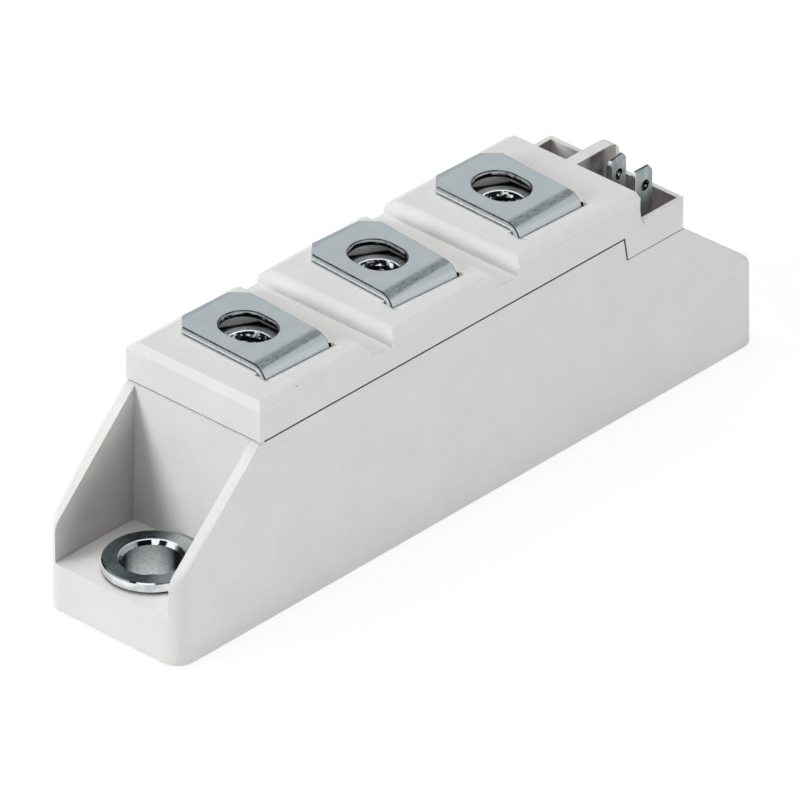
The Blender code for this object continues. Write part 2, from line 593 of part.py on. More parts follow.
def build():
    clear_scene()
    moulding = plastic("moulded_polyester", 0.77, 0.77, 0.75)
    tinned = material("tinned_copper", (0.42, 0.45, 0.46), 0.38, 1.0)
    steel = material("turned_steel", (0.45, 0.47, 0.48), 0.25, 1.0)
    base_metal = material("nickel_plated_copper", (0.62, 0.6, 0.56), 0.35, 1.0)
    copper = material("bare_copper", (0.72, 0.4, 0.26), 0.35, 1.0)
    ceramic = plastic("alumina_ceramic", 0.82, 0.82, 0.79, 0.6)
    silicon = material("silicon", (0.1, 0.1, 0.12), 0.2, 0.5)
    insulation = plastic("silicone_insulation", 0.6, 0.1, 0.08, 0.6)

    housing(moulding)
    lid(moulding)
    base_plate(base_metal)
    bushing("bushing_front", -HOLE_PITCH / 2, steel)
    bushing("bushing_rear", HOLE_PITCH / 2, steel)
    for number, x in enumerate(TERMINALS, 1):
        terminal(number, x, tinned)
        nut(number, x, steel)
    tab("gate_tab", GATE_TAB_Y, tinned)
    tab("cathode_tab", CATHODE_TAB_Y, tinned)

    circuit(ceramic, copper, silicon, insulation)


build()
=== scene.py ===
import math

import bmesh
import bpy
from mathutils import Matrix, Vector


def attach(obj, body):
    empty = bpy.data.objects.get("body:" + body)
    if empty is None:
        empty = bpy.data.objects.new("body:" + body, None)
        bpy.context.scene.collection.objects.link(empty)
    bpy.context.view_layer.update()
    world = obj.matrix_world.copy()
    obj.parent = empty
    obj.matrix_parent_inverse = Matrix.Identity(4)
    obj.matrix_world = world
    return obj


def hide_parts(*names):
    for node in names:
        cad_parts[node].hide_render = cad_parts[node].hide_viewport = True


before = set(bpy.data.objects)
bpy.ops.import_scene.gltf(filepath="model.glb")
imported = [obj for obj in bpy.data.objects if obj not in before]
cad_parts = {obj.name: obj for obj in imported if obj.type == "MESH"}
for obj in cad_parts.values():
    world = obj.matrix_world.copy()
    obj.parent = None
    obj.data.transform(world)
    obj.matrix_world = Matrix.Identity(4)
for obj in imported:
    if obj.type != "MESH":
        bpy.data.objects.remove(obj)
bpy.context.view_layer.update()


# Base plate: a 3 mm copper plate under the whole case, nickel plated, its lower face ground flat to
# lie on a heatsink. The case is glued round it and the two mounting screws pass through it.
MM = 0.001
NICKEL_DARK, NICKEL_LIGHT = "#b1afa8", "#c9c7c0"
GRINDING_SPACING = 0.12 * MM


def hex_colour(text):
    """Turns an sRGB hex colour into the linear values that the shaders take."""
    parts = [int(text[place:place + 2], 16) / 255 for place in (1, 3, 5)]
    return [part / 12.92 if part <= 0.04045 else ((part + 0.055) / 1.055) ** 2.4 for part in parts] + [1.0]


def add_node(tree, kind, links=(), **settings):
    """Adds a node, sets its properties and inputs by name, and links the given outputs into it."""
    made = tree.nodes.new(kind)
    for name, value in settings.items():
        if name in made.bl_rna.properties:
            setattr(made, name, value)
        else:
            made.inputs[name.replace("_", " ")].default_value = value
    for socket, source in links:
        tree.links.new(source.outputs[0] if hasattr(source, "outputs") else source, made.inputs[socket])
    return made


def new_material(name):
    made = bpy.data.materials.new(name)
    made.use_nodes = True
    made.node_tree.nodes.clear()
    return made, made.node_tree


def object_pattern(tree, spacing):
    """The piece's own coordinates, counted in pattern spacings along each axis."""
    place = add_node(tree, "ShaderNodeTexCoord")
    return add_node(tree, "ShaderNodeMapping", [("Vector", place.outputs["Object"])],
                    Scale=[1 / step for step in spacing])


def tinted(tree, factor, dark, light, low=0.3, high=0.7):
    """A colour that runs from dark to light with a pattern's height."""
    ramp = add_node(tree, "ShaderNodeValToRGB", [("Fac", factor)])
    first, last = ramp.color_ramp.elements
    first.position, first.color = low, hex_colour(dark)
    last.position, last.color = high, hex_colour(light)
    return ramp


def ranged(tree, factor, low, high):
    """A number that runs from low to high with a pattern's height."""
    return add_node(tree, "ShaderNodeMapRange", [("Value", factor)], To_Min=low, To_Max=high)


def finish_material(tree, colour, roughness, height, depth, strength=0.3, **settings):
    """Ends a material: one shader with the pattern's colour, roughness and relief."""
    bump = add_node(tree, "ShaderNodeBump", [("Height", height)], Strength=strength, Distance=depth)
    links = [("Base Color", colour), ("Roughness", roughness), ("Normal", bump)]
    shader = add_node(tree, "ShaderNodeBsdfPrincipled", links, **settings)
    add_node(tree, "ShaderNodeOutputMaterial", [("Surface", shader)])
    return shader


# Nickel plating on ground copper: warm white metal with fine parallel grinding lines along the plate.
ground_nickel, tree = new_material("ground_nickel_plating")
lines = add_node(tree, "ShaderNodeTexNoise", [("Vector", object_pattern(tree, (9 * MM, GRINDING_SPACING, GRINDING_SPACING)))],
                 Scale=1.0, Detail=4.0)
finish_material(tree, tinted(tree, lines, NICKEL_DARK, NICKEL_LIGHT), ranged(tree, lines, 0.24, 0.42), lines,
                0.004 * MM, Metallic=1.0)


def dress(node, material):
    """Gives a node of the solid model its material, and leaves its shape alone."""
    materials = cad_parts[node].data.materials
    materials.clear()
    materials.append(material)


dress("base_plate", ground_nickel)


# The circuit inside: alumina ceramic soldered on the base, copper tracks on it, a diode and a thyristor
# chip, and the copper clips over them. It is closed in by the case and keeps the solid model's shapes.
# Alumina: sintered white ceramic, matt, with a faint speckle of grains.
alumina, tree = new_material("alumina_ceramic")
grains = add_node(tree, "ShaderNodeTexNoise", [("Vector", object_pattern(tree, [0.2 * MM] * 3))], Scale=1.0, Detail=3.0)
finish_material(tree, tinted(tree, grains, "#e2e1da", "#efeee9"), ranged(tree, grains, 0.5, 0.65), grains, 0.005 * MM,
                IOR=1.76)
dress("substrate", alumina)

# Bare copper: rolled sheet, salmon pink, darkened in clouds where solder heat oxidised it.
bare_copper, tree = new_material("bare_rolled_copper")
clouds = add_node(tree, "ShaderNodeTexNoise", [("Vector", object_pattern(tree, [3 * MM] * 3))], Scale=1.0, Detail=5.0)
finish_material(tree, tinted(tree, clouds, "#a8623f", "#d8956f"), ranged(tree, clouds, 0.28, 0.5), clouds, 0.01 * MM,
                Metallic=1.0)
for node in ("track_mid", "track_minus", "track_plus", "mid_clip", "minus_clip"):
    dress(node, bare_copper)

# Silicon: a polished near-black chip under clear glass passivation, with a faint tint from the coating.
silicon, tree = new_material("passivated_silicon")
tint = add_node(tree, "ShaderNodeTexNoise", [("Vector", object_pattern(tree, [2 * MM] * 3))], Scale=1.0, Detail=2.0)
finish_material(tree, tinted(tree, tint, "#1a1c24", "#2b2f3c"), ranged(tree, tint, 0.1, 0.2), tint, 0.002 * MM,
                Metallic=0.4, Coat_Weight=0.6)
for node in ("diode_chip", "thyristor_chip"):
    dress(node, silicon)

# Silicone sleeve: extruded rubbery insulation, dull red, slightly cloudy.
sleeve, tree = new_material("extruded_silicone_sleeve")
cloud = add_node(tree, "ShaderNodeTexNoise", [("Vector", object_pattern(tree, [1 * MM] * 3))], Scale=1.0, Detail=3.0)
finish_material(tree, tinted(tree, cloud, "#8e1f1a", "#a62a22"), ranged(tree, cloud, 0.5, 0.65), cloud, 0.01 * MM,
                IOR=1.41)
for node in ("gate_lead", "cathode_lead"):
    dress(node, sleeve)


# Housing: one moulding of glass-filled thermoset polyester, light grey and matt. It is a hollow frame
# with a screw pocket between two sloping fins at each end, and its outer walls lean in for the mould.
HALF_LENGTH, HALF_WIDTH = 46.5 * MM, 10.0 * MM
HOUSING_FOOT, HOUSING_TOP = 0.2 * MM, 22.5 * MM
HOUSING_CORNER = 2.3 * MM
LEAN = 0.01
LID_FRONT, LID_REAR = -33.43 * MM, 34.2 * MM
POCKET_BACK, POCKET_BACK_TOP = -34.14 * MM, -33.54 * MM
FIN_TIP = 10.2 * MM
FIN_TIP_ROUND = 0.7 * MM
POCKET_FLOOR = 5.95 * MM
POCKET_HALF_WIDTH = 8.376 * MM
STEP_LEVEL = 19.74 * MM
STEP_FACE, STEP_FACE_LEVEL, STEP_LEAN = 24.52 * MM, 22.65 * MM, 0.171
JOINT_HALF = 0.09 * MM
LIP_TOP = 22.66 * MM
FAR = 60 * MM
POLYESTER_DARK, POLYESTER_LIGHT = "#dddddc", "#e3e3e2"


def alone(piece):
    """Leaves only this piece selected and active."""
    bpy.ops.object.select_all(action="DESELECT")
    piece.select_set(True)
    bpy.context.view_layer.objects.active = piece


def settle(name):
    """Names the newest primitive and moves its place into its mesh."""
    piece = bpy.context.object
    piece.name = name
    bpy.ops.object.transform_apply(location=True, rotation=True, scale=True)
    return piece


def block(name, x_range, y_range, z_range):
    """A box between the given limits, ready to be shaped."""
    ranges = (x_range, y_range, z_range)
    bpy.ops.object.select_all(action="DESELECT")
    bpy.ops.mesh.primitive_cube_add(
        size=1,
        location=[(low + high) / 2 for low, high in ranges],
        scale=[high - low for low, high in ranges],
    )
    return settle(name)


def rod(name, centre, radius, z_range, sides=64):
    """An upright round bar, ready to be shaped."""
    bpy.ops.object.select_all(action="DESELECT")
    bpy.ops.mesh.primitive_cylinder_add(
        vertices=sides,
        radius=radius,
        depth=z_range[1] - z_range[0],
        location=(*centre, (z_range[0] + z_range[1]) / 2),
    )
    return settle(name)


def select(piece, kind, test):
    """Opens the piece in edit mode with only the verts, edges or faces that pass the test selected."""
    alone(piece)
    bpy.ops.object.mode_set(mode="EDIT")
    bpy.ops.mesh.select_mode(type=kind)
    bpy.ops.mesh.select_all(action="DESELECT")
    mesh = bmesh.from_edit_mesh(piece.data)
    for item in {"VERT": mesh.verts, "EDGE": mesh.edges, "FACE": mesh.faces}[kind]:
        item.select_set(bool(test(item)))
    mesh.select_flush_mode()
    bmesh.update_edit_mesh(piece.data)


def close():
    bpy.ops.object.mode_set(mode="OBJECT")


def push(piece, kind, test, way):
    """Moves the verts, edges or faces that pass the test."""
    select(piece, kind, test)
    bpy.ops.transform.translate(value=way)
    close()


def ease(piece, test, radius, segments=6):
    """Rounds the edges that pass the test."""
    select(piece, "EDGE", test)
    bpy.ops.mesh.bevel(offset=radius, segments=segments, affect="EDGES")
    close()


def middle(edge):
    return (edge.verts[0].co + edge.verts[1].co) / 2


def runs(edge, axis):
    """Whether an edge lies along the x, y or z axis."""
    return abs((edge.verts[1].co - edge.verts[0].co).normalized()["xyz".index(axis)]) > 0.9


def slice_off(piece, point, normal):
    """Cuts away what lies beyond a plane and closes the cut."""
    select(piece, "VERT", lambda vert: True)
    bpy.ops.mesh.bisect(plane_co=point, plane_no=normal, clear_outer=True, use_fill=True)
    close()


def apply_modifier(piece, kind, **settings):
    alone(piece)
    modifier = piece.modifiers.new(kind.lower(), kind)
    for name, value in settings.items():
        setattr(modifier, name, value)
    bpy.ops.object.modifier_apply(modifier=modifier.name)


def combine(piece, tool, operation="DIFFERENCE"):
    """Cuts, joins or trims the piece with a tool shape, which is used up."""
    apply_modifier(piece, "BOOLEAN", operation=operation, solver="EXACT", object=tool)
    bpy.data.objects.remove(tool, do_unlink=True)


def shade(piece):
    """Shades the flats flat and the curves smooth."""
    alone(piece)
    bpy.ops.object.shade_smooth_by_angle(angle=math.radians(35))
    apply_modifier(piece, "WEIGHTED_NORMAL", keep_sharp=True)


def soften(piece, width, segments=3, angle=12):
    """Breaks every sharp edge by the given width, and shades the piece."""
    apply_modifier(piece, "BEVEL", width=width, segments=segments, limit_method="ANGLE",
                   angle_limit=math.radians(angle), miter_outer="MITER_ARC")
    shade(piece)


def lay_materials(piece, materials, choose):
    """Gives the piece its materials, and each face the one whose number choose returns."""
    piece.data.materials.clear()
    for material in materials:
        piece.data.materials.append(material)
    for face in piece.data.polygons:
        face.material_index = choose(face)


def fit(piece, slot, *nodes):
    """Rides the finished piece on the module in place of the solid model's nodes."""
    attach(piece, "root")
    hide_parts(*nodes)


housing = block("housing_moulding", (-HALF_LENGTH, HALF_LENGTH), (-HALF_WIDTH, HALF_WIDTH), (HOUSING_FOOT, HOUSING_TOP))
ease(housing, lambda edge: runs(edge, "z"), HOUSING_CORNER, 9)
select(housing, "VERT", lambda vert: vert.co.z > HOUSING_TOP - MM)
narrowing = LEAN * (HOUSING_TOP - HOUSING_FOOT)
bpy.ops.transform.resize(value=(1 - narrowing / HALF_LENGTH, 1 - narrowing / HALF_WIDTH, 1))
close()
slice_off(housing, (LID_FRONT, 0, HOUSING_TOP + 0.12 * MM), (-(HOUSING_TOP + 0.12 * MM - FIN_TIP), 0, HALF_LENGTH + LID_FRONT))
slice_off(housing, (LID_REAR, 0, STEP_LEVEL + 0.11 * MM), (STEP_LEVEL + 0.11 * MM - FIN_TIP, 0, HALF_LENGTH - LID_REAR))


def step_face(level, side):
    """Where the joint's leaning step stands at a height, on the housing's side (-1) or the lid's (1)."""
    return STEP_FACE + side * JOINT_HALF + STEP_LEAN * (STEP_FACE_LEVEL - level)


rear_step = block("rear_step", (step_face(FAR, -1), FAR), (-12 * MM, 12 * MM), (STEP_LEVEL, FAR))
push(rear_step, "VERT", lambda vert: vert.co.x < FAR / 2 and vert.co.z < FAR / 2,
     (step_face(STEP_LEVEL, -1) - step_face(FAR, -1), 0, 0))
combine(housing, rear_step)


def fin_tip(edge):
    """The ridge where a sloping end meets the upright end wall."""
    return abs(middle(edge).x) > 44 * MM and FIN_TIP - MM < middle(edge).z < FIN_TIP + 4 * MM and not runs(edge, "z") \
        and edge.calc_face_angle(0) > 0.4


ease(housing, fin_tip, FIN_TIP_ROUND, 5)
back_lean = (POCKET_BACK_TOP - POCKET_BACK) / (LIP_TOP - POCKET_FLOOR)
for inner, outer in ((POCKET_BACK, -FAR), (LID_REAR, FAR)):
    pocket = block("pocket", sorted((inner, outer)), (-POCKET_HALF_WIDTH, POCKET_HALF_WIDTH), (POCKET_FLOOR, 40 * MM))
    if inner < 0:
        push(pocket, "VERT", lambda vert: vert.co.x > inner - MM and vert.co.z > 30 * MM,
             (back_lean * (40 * MM - POCKET_FLOOR), 0, 0))
    select(pocket, "VERT", lambda vert: vert.co.z > 30 * MM)
    bpy.ops.transform.resize(value=(1, 1 + LEAN * 34.05 * MM / POCKET_HALF_WIDTH, 1), center_override=(0, 0, 0))
    close()
    combine(housing, pocket)
combine(housing, block("front_lip", (-33.41 * MM, -32.4 * MM), (-9.7 * MM, 9.7 * MM), (22 * MM, LIP_TOP)), "UNION")
combine(housing, block("chamber", (-31.97 * MM, 32.3 * MM), (-8.1 * MM, 8.1 * MM), (2 * MM, 40 * MM)))
recess = block("recess", (-44.9 * MM, 44.9 * MM), (-8.7 * MM, 8.7 * MM), (-2 * MM, 3.3 * MM))
ease(recess, lambda edge: runs(edge, "z"), 1.0 * MM, 5)
combine(housing, recess)
for x in (-40 * MM, 40 * MM):
    combine(housing, rod("bushing_seat", (x, 0), 4.5 * MM, (2 * MM, 8 * MM)))
soften(housing, 0.16 * MM)

# Glass-filled thermoset polyester, moulded: matt light grey, with a faint cloudiness from its filler and
# the very fine pebbling of a spark-eroded mould, drawn a little coarser than real so that it shows.
polyester, tree = new_material("glass_filled_polyester")
cloud = add_node(tree, "ShaderNodeTexNoise", [("Vector", object_pattern(tree, [5 * MM] * 3))], Scale=1.0, Detail=6.0, Roughness=0.6)
pebbles = add_node(tree, "ShaderNodeTexNoise", [("Vector", object_pattern(tree, [0.3 * MM] * 3))], Scale=1.0, Detail=3.0)
blend = add_node(tree, "ShaderNodeMath", [(0, cloud), (1, pebbles)], operation="ADD")
half = add_node(tree, "ShaderNodeMapRange", [("Value", blend)], From_Max=2.0)
finish_material(tree, tinted(tree, half, POLYESTER_DARK, POLYESTER_LIGHT, 0.4, 0.6), ranged(tree, cloud, 0.48, 0.62),
                pebbles, 0.02 * MM, 0.08, IOR=1.5)

# The same polyester on the fins' inner faces, painted darker and warmer as the shade between the fins, and a little
# rougher.
fin_painted_shade, tree = new_material("polyester_painted_shade_fins")
painted_shade_mottle = add_node(tree, "ShaderNodeTexNoise", [("Vector", object_pattern(tree, [4 * MM] * 3))], Scale=1.0, Detail=5.0)
finish_material(tree, tinted(tree, painted_shade_mottle, "#c6c3c1", "#cfcdca"), ranged(tree, painted_shade_mottle, 0.6, 0.8), painted_shade_mottle, 0.02 * MM, 0.1, IOR=1.5)
# The fins' inner faces take the painted shade.
lay_materials(housing, (polyester, fin_painted_shade), lambda face: abs(face.normal.y) > 0.95 and face.center.z > POCKET_FLOOR
              and abs(face.center.x) > -LID_FRONT and abs(face.center.y) < 9 * MM)
fit(housing, "moulding", "housing")


# Bushings: a flanged sleeve turned from free-cutting steel and zinc plated, moulded into each pocket.
# It takes the force of the mounting screw down to the base, so that the plastic isn't crushed.
FLANGE_RADIUS, TUBE_RADIUS, BORE_RADIUS, BEVEL_RADIUS = 5.5 * MM, 4.2 * MM, 3.28 * MM, 3.72 * MM
FLANGE_BOTTOM, FLANGE_TOP, TUBE_BOTTOM = 6.02 * MM, 7.35 * MM, 3.05 * MM
EDGE_BREAK, FOOT_BREAK = 0.14 * MM, 0.26 * MM


def turn_profile(name, points, centre, steps=72):
    """Turns a closed outline of (radius, height) points round an upright axis, as on a lathe."""
    bpy.ops.object.select_all(action="DESELECT")
    bpy.ops.mesh.primitive_plane_add(size=1)
    piece = settle(name)
    bpy.ops.object.mode_set(mode="EDIT")
    mesh = bmesh.from_edit_mesh(piece.data)
    bmesh.ops.delete(mesh, geom=mesh.verts[:], context="VERTS")
    ring = [mesh.verts.new((centre[0] + radius, centre[1], height)) for radius, height in points]
    for first, second in zip(ring, ring[1:] + ring[:1]):
        mesh.edges.new((first, second))
    bmesh.update_edit_mesh(piece.data)
    bpy.ops.mesh.select_all(action="SELECT")
    bpy.ops.mesh.spin(steps=steps, angle=2 * math.pi, center=(*centre, 0), axis=(0, 0, 1))
    bpy.ops.mesh.select_all(action="SELECT")
    bpy.ops.mesh.remove_doubles(threshold=0.002 * MM)
    bpy.ops.mesh.normals_make_consistent(inside=False)
    close()
    return piece


bushing_outline = [
    (TUBE_RADIUS, TUBE_BOTTOM),
    (TUBE_RADIUS, FLANGE_BOTTOM),
    (FLANGE_RADIUS - FOOT_BREAK, FLANGE_BOTTOM),
    (FLANGE_RADIUS, FLANGE_BOTTOM + FOOT_BREAK),
    (FLANGE_RADIUS, FLANGE_TOP - EDGE_BREAK),
    (FLANGE_RADIUS - EDGE_BREAK, FLANGE_TOP),
    (BEVEL_RADIUS, FLANGE_TOP),
    (BEVEL_RADIUS - 0.09 * MM, FLANGE_TOP - 0.09 * MM),
    (BORE_RADIUS + 0.05 * MM, FLANGE_TOP - 0.46 * MM),
    (BORE_RADIUS, FLANGE_TOP - 0.54 * MM),
    (BORE_RADIUS, TUBE_BOTTOM),
]


def metal_pattern(tree, spacing, place, detail=4.0):
    """Noise in the piece's own coordinates, moved along by a place in pattern spacings."""
    pattern = object_pattern(tree, spacing)
    pattern.inputs["Location"].default_value = place
    return add_node(tree, "ShaderNodeTexNoise", [("Vector", pattern)], Scale=1.0, Detail=detail)


def round_the_axis(tree, wobble):
    """How far round its own upright axis a point of either bushing lies, from 0 to 1, a little unevenly."""
    place = add_node(tree, "ShaderNodeTexCoord")
    folded = add_node(tree, "ShaderNodeVectorMath", [(0, place.outputs["Object"])], operation="ABSOLUTE")
    folded = add_node(tree, "ShaderNodeSeparateXYZ", [("Vector", folded)])
    along = add_node(tree, "ShaderNodeMath", [(1, folded.outputs["X"])], operation="SUBTRACT")
    along.inputs[0].default_value = 40 * MM
    across = add_node(tree, "ShaderNodeSeparateXYZ", [("Vector", place.outputs["Object"])])
    from_axis = add_node(tree, "ShaderNodeCombineXYZ", [("X", along), ("Y", across.outputs["Y"])])
    turn = add_node(tree, "ShaderNodeTexGradient", [("Vector", from_axis)], gradient_type="RADIAL")
    uneven = metal_pattern(tree, [0.5 * MM] * 3, (0, 0, 0), 3.0)
    uneven = add_node(tree, "ShaderNodeMapRange", [("Value", uneven)], To_Min=-wobble, To_Max=wobble)
    return add_node(tree, "ShaderNodeMath", [(0, turn.outputs["Fac"]), (1, uneven)], operation="ADD")


def painted_round_the_axis(tree, wobble, stops):
    """A colour that changes round the axis at the given stops: painted reflections and shade that follow the angle."""
    ramp = add_node(tree, "ShaderNodeValToRGB", [("Fac", round_the_axis(tree, wobble))])
    points = ramp.color_ramp.elements
    points[0].position, points[0].color = stops[0][0], hex_colour(stops[0][1])
    points[1].position, points[1].color = stops[-1][0], hex_colour(stops[-1][1])
    for position, colour in stops[1:-1]:
        points.new(position).color = hex_colour(colour)
    return ramp


# Turned face: facing cuts across the flange, its colour painted darker and brighter round the axis as reflections of
# the pocket around it.
turned_face, tree = new_material("turned_steel_face")
smear = metal_pattern(tree, [0.9 * MM] * 3, (0, 0, 0))
face_painted_reflections = painted_round_the_axis(tree, 0.02, (
    (0.0, "#859399"), (0.05, "#6b777c"), (0.1, "#676f75"), (0.14, "#98a5a9"), (0.3, "#a0aeb1"), (0.46, "#c8cccd"),
    (0.5, "#e6e8eb"), (0.535, "#d3d8d9"), (0.57, "#9cacac"), (0.61, "#667678"), (0.665, "#52616c"), (0.73, "#6f7f82"),
    (0.78, "#8e9ba6"), (0.9, "#869499"), (0.95, "#95a4ab"), (1.0, "#859399")))
finish_material(tree, face_painted_reflections, ranged(tree, smear, 0.2, 0.34), smear, 0.01 * MM, 0.3, Metallic=1.0)

# Zinc plating painted almost white as a highlight: the smooth side of the flange, the top ring of the bore's chamfer,
# the nuts' lead-ins and the tabs' clipped corners.
metal_painted_highlight, tree = new_material("zinc_painted_highlight")
smear = metal_pattern(tree, [1.8 * MM] * 3, (0, 0, 0))
finish_material(tree, tinted(tree, smear, "#d6dcdf", "#f6f8f9", 0.36, 0.6), ranged(tree, smear, 0.1, 0.22), smear, 0.01 * MM,
                0.2, Metallic=1.0)

# The chamfers: zinc plating with painted reflections, in bright and almost black stretches round the axis.
chamfer_painted_reflections, tree = new_material("zinc_chamfer_painted_reflections")
smear = metal_pattern(tree, [0.6 * MM] * 3, (0, 0, 0))
painted_stretches = painted_round_the_axis(tree, 0.022, (
    (0.0, "#98a1a4"), (0.045, "#98a1a4"), (0.05, "#15191c"), (0.072, "#15191c"), (0.078, "#f4f7f8"), (0.125, "#f4f7f8"),
    (0.135, "#23282b"), (0.165, "#8b9497"), (0.36, "#23282b"), (0.465, "#5a6164"), (0.485, "#b0b6b8"), (0.5, "#f4f7f8"),
    (0.54, "#f4f7f8"), (0.552, "#0d1012"), (0.585, "#23282b"), (0.593, "#f4f7f8"), (0.62, "#f4f7f8"), (0.628, "#0d1012"),
    (0.692, "#0d1012"), (0.705, "#b4bcc0"), (0.86, "#c3cacd"), (0.88, "#0d1012"), (0.93, "#0d1012"), (0.95, "#6d7578"),
    (1.0, "#98a1a4")))
finish_material(tree, painted_stretches, ranged(tree, smear, 0.1, 0.2), smear, 0.01 * MM, 0.2, Metallic=1.0)

# Reamed bore: mid grey and finely mottled, with painted shade as black crescents on two sides.
reamed_bore, tree = new_material("reamed_steel_bore")
mottle = metal_pattern(tree, (0.35 * MM, 0.35 * MM, 0.15 * MM), (0, 0, 0), 5.0)
plain = tinted(tree, mottle, "#cfd7dc", "#f8fcff", 0.34, 0.66)
bore_painted_shade = painted_round_the_axis(tree, 0.012, ((0.0, "#b9bfc2"), (0.3, "#1c2022"), (0.485, "#202526"), (0.51, "#9aa3a4"), (0.54, "#dce0e1"),
                             (0.6, "#f6f8f8"), (0.73, "#f2f5f6"), (0.765, "#bcc3c5"), (0.79, "#5c6366"), (0.81, "#0d0f10"),
                             (0.97, "#0d0f10"), (1.0, "#b9bfc2")))
colour = add_node(tree, "ShaderNodeMixRGB", [("Color1", plain), ("Color2", bore_painted_shade)], blend_type="MULTIPLY", Fac=1.0)
finish_material(tree, colour, ranged(tree, mottle, 0.34, 0.5), mottle, 0.02 * MM, 0.4, Metallic=1.0)

# Painted shade: near black, for the underside of the flange and the sleeve below it, the nuts' flanks and the notches
# by the legs in the lid.
black_painted_shade, tree = new_material("painted_black_shade")
black_shade_mottle = metal_pattern(tree, [0.8 * MM] * 3, (0, 0, 0))
finish_material(tree, tinted(tree, black_shade_mottle, "#0d0e0f", "#191b1c"), ranged(tree, black_shade_mottle, 0.5, 0.7), black_shade_mottle, 0.01 * MM)


def bushing_finish(face):
    """Top face and chamfers with painted reflections, side and the chamfer's top ring with a painted highlight, bore
    with painted shade, or the underside in painted shadow, told apart by where a face of the bushing stands.
    """
    reach = math.hypot(abs(face.center.x) - 40 * MM, face.center.y)
    if face.normal.z > 0.95:
        return 0
    if reach < BORE_RADIUS + 0.02 * MM:
        return 3
    if face.normal.z > 0.3:
        return 1 if BEVEL_RADIUS - 0.08 * MM < reach < BEVEL_RADIUS else 2
    return 4 if face.center.z < FLANGE_BOTTOM + FOOT_BREAK * 0.7 else 1


for name, x in (("bushing_front", -40 * MM), ("bushing_rear", 40 * MM)):
    bushing = turn_profile(f"{name}_turned", bushing_outline, (x, 0), 96)
    alone(bushing)
    bpy.ops.object.shade_smooth_by_angle(angle=math.radians(25))
    lay_materials(bushing, (turned_face, metal_painted_highlight, chamfer_painted_reflections, reamed_bore, black_painted_shade), bushing_finish)
    fit(bushing, "turned_steel", name)


# Lid: moulded of the same polyester and glued on along a stepped joint. It carries three raised lands
# with the nut pockets, and at its rear end the open box of the gate tabs, in two compartments.
LID_BOTTOM, LID_TOP = 22.8 * MM, 27.2 * MM
LID_HALF = 9.9 * MM
STEP_UNDERSIDE = 19.9 * MM
RIM_LEVEL = 23.8 * MM
BOX_FRONT, BOX_REAR = 27.2 * MM, 33.6 * MM
BOX_INSIDE = 9.28 * MM
BOX_FLOOR = 20.5 * MM
BOX_CORNER = 0.3 * MM
DIVIDER_NEAR, DIVIDER_FAR = -0.3 * MM, 1.3 * MM
DIVIDER_NOSE = 1.5 * MM
GROOVES = (-16.05 * MM, 3.95 * MM)
GROOVE_WIDTH, GROOVE_FLOOR = 3.2 * MM, 25.6 * MM
CHAMFER_LEVEL = 26.65 * MM
TERMINALS = ((1, -23.15 * MM, -2.35), (2, -2.81 * MM, -4.0), (3, 17.03 * MM, -2.2))
SLOT_CENTRE = 1.5 * MM
LEG_FACE = -6.2 * MM
LEG_HALF, LEG_RIGHT = 5.0 * MM, 4.8 * MM
NUT_TOP, NUT_THICKNESS, NUT_FLATS = 26.1 * MM, 4.0 * MM, 8.0 * MM
BOSS_BOTTOM, BOSS_RADIUS = 20.6 * MM, 6.2 * MM
TAB_X = 30.36 * MM

lid = block("lid_moulding", (LID_FRONT, LID_REAR), (-LID_HALF, LID_HALF), (STEP_UNDERSIDE, LID_TOP))
ease(lid, lambda edge: runs(edge, "y") and middle(edge).x > 0 and middle(edge).z > LID_TOP - MM, DIVIDER_NOSE, 10)
outline = block("outline", (-FAR, LID_REAR), (-LID_HALF, LID_HALF), (0, FAR))
ease(outline, lambda edge: runs(edge, "z") and middle(edge).x > 0, BOX_CORNER, 4)
combine(lid, outline, "INTERSECT")
under = block("under_lid", (-FAR, step_face(LID_BOTTOM, 1)), (-12 * MM, 12 * MM), (0, LID_BOTTOM))
push(under, "VERT", lambda vert: vert.co.x > 0 and vert.co.z < MM, (step_face(0, 1) - step_face(LID_BOTTOM, 1), 0, 0))
combine(lid, under)
for number, x, turn in TERMINALS:
    boss = rod("nut_boss", (x, SLOT_CENTRE), BOSS_RADIUS, (BOSS_BOTTOM, LID_BOTTOM + MM))
    combine(lid, boss, "UNION")
for start in GROOVES:
    end = start + GROOVE_WIDTH
    groove = block("groove", (start, end), (-12 * MM, 12 * MM), (GROOVE_FLOOR, 30 * MM))
    push(groove, "VERT", lambda vert: vert.co.x < start + MM and vert.co.z > 28 * MM, (-1.375 * MM, 0, 0))
    combine(lid, groove)
    ease(lid, lambda edge: runs(edge, "y") and abs(middle(edge).x - end) < 0.05 * MM and middle(edge).z > 27 * MM,
         1.5 * MM, 8)
slice_off(lid, (LID_FRONT, 0, CHAMFER_LEVEL), (-0.55, 0, 1.75))
slice_off(lid, (0, -LID_HALF, CHAMFER_LEVEL), (0, -0.55, 1.6))
slice_off(lid, (0, LID_HALF, CHAMFER_LEVEL), (0, 0.55, 1.6))
for near, far in ((-BOX_INSIDE, DIVIDER_NEAR), (DIVIDER_FAR, BOX_INSIDE)):
    combine(lid, block("compartment", (BOX_FRONT, BOX_REAR), (near, far), (BOX_FLOOR, 40 * MM)))
for near, far in ((-12 * MM, DIVIDER_NEAR), (DIVIDER_FAR, 12 * MM)):
    combine(lid, block("above_rim", (BOX_FRONT, FAR), (near, far), (RIM_LEVEL, 40 * MM)))
ease(lid, lambda edge: runs(edge, "z") and abs(middle(edge).x - BOX_FRONT) < 0.05 * MM and abs(middle(edge).y) > 9.5 * MM
     and middle(edge).z > RIM_LEVEL, 0.45 * MM, 4)


def skew(piece, degrees, x):
    """Turns the whole piece about the upright axis of a terminal's screw slot."""
    select(piece, "VERT", lambda vert: True)
    # without a window the operator turns the other way
    bpy.ops.transform.rotate(value=-math.radians(degrees), orient_axis="Z", center_override=(x, SLOT_CENTRE, 0))
    close()


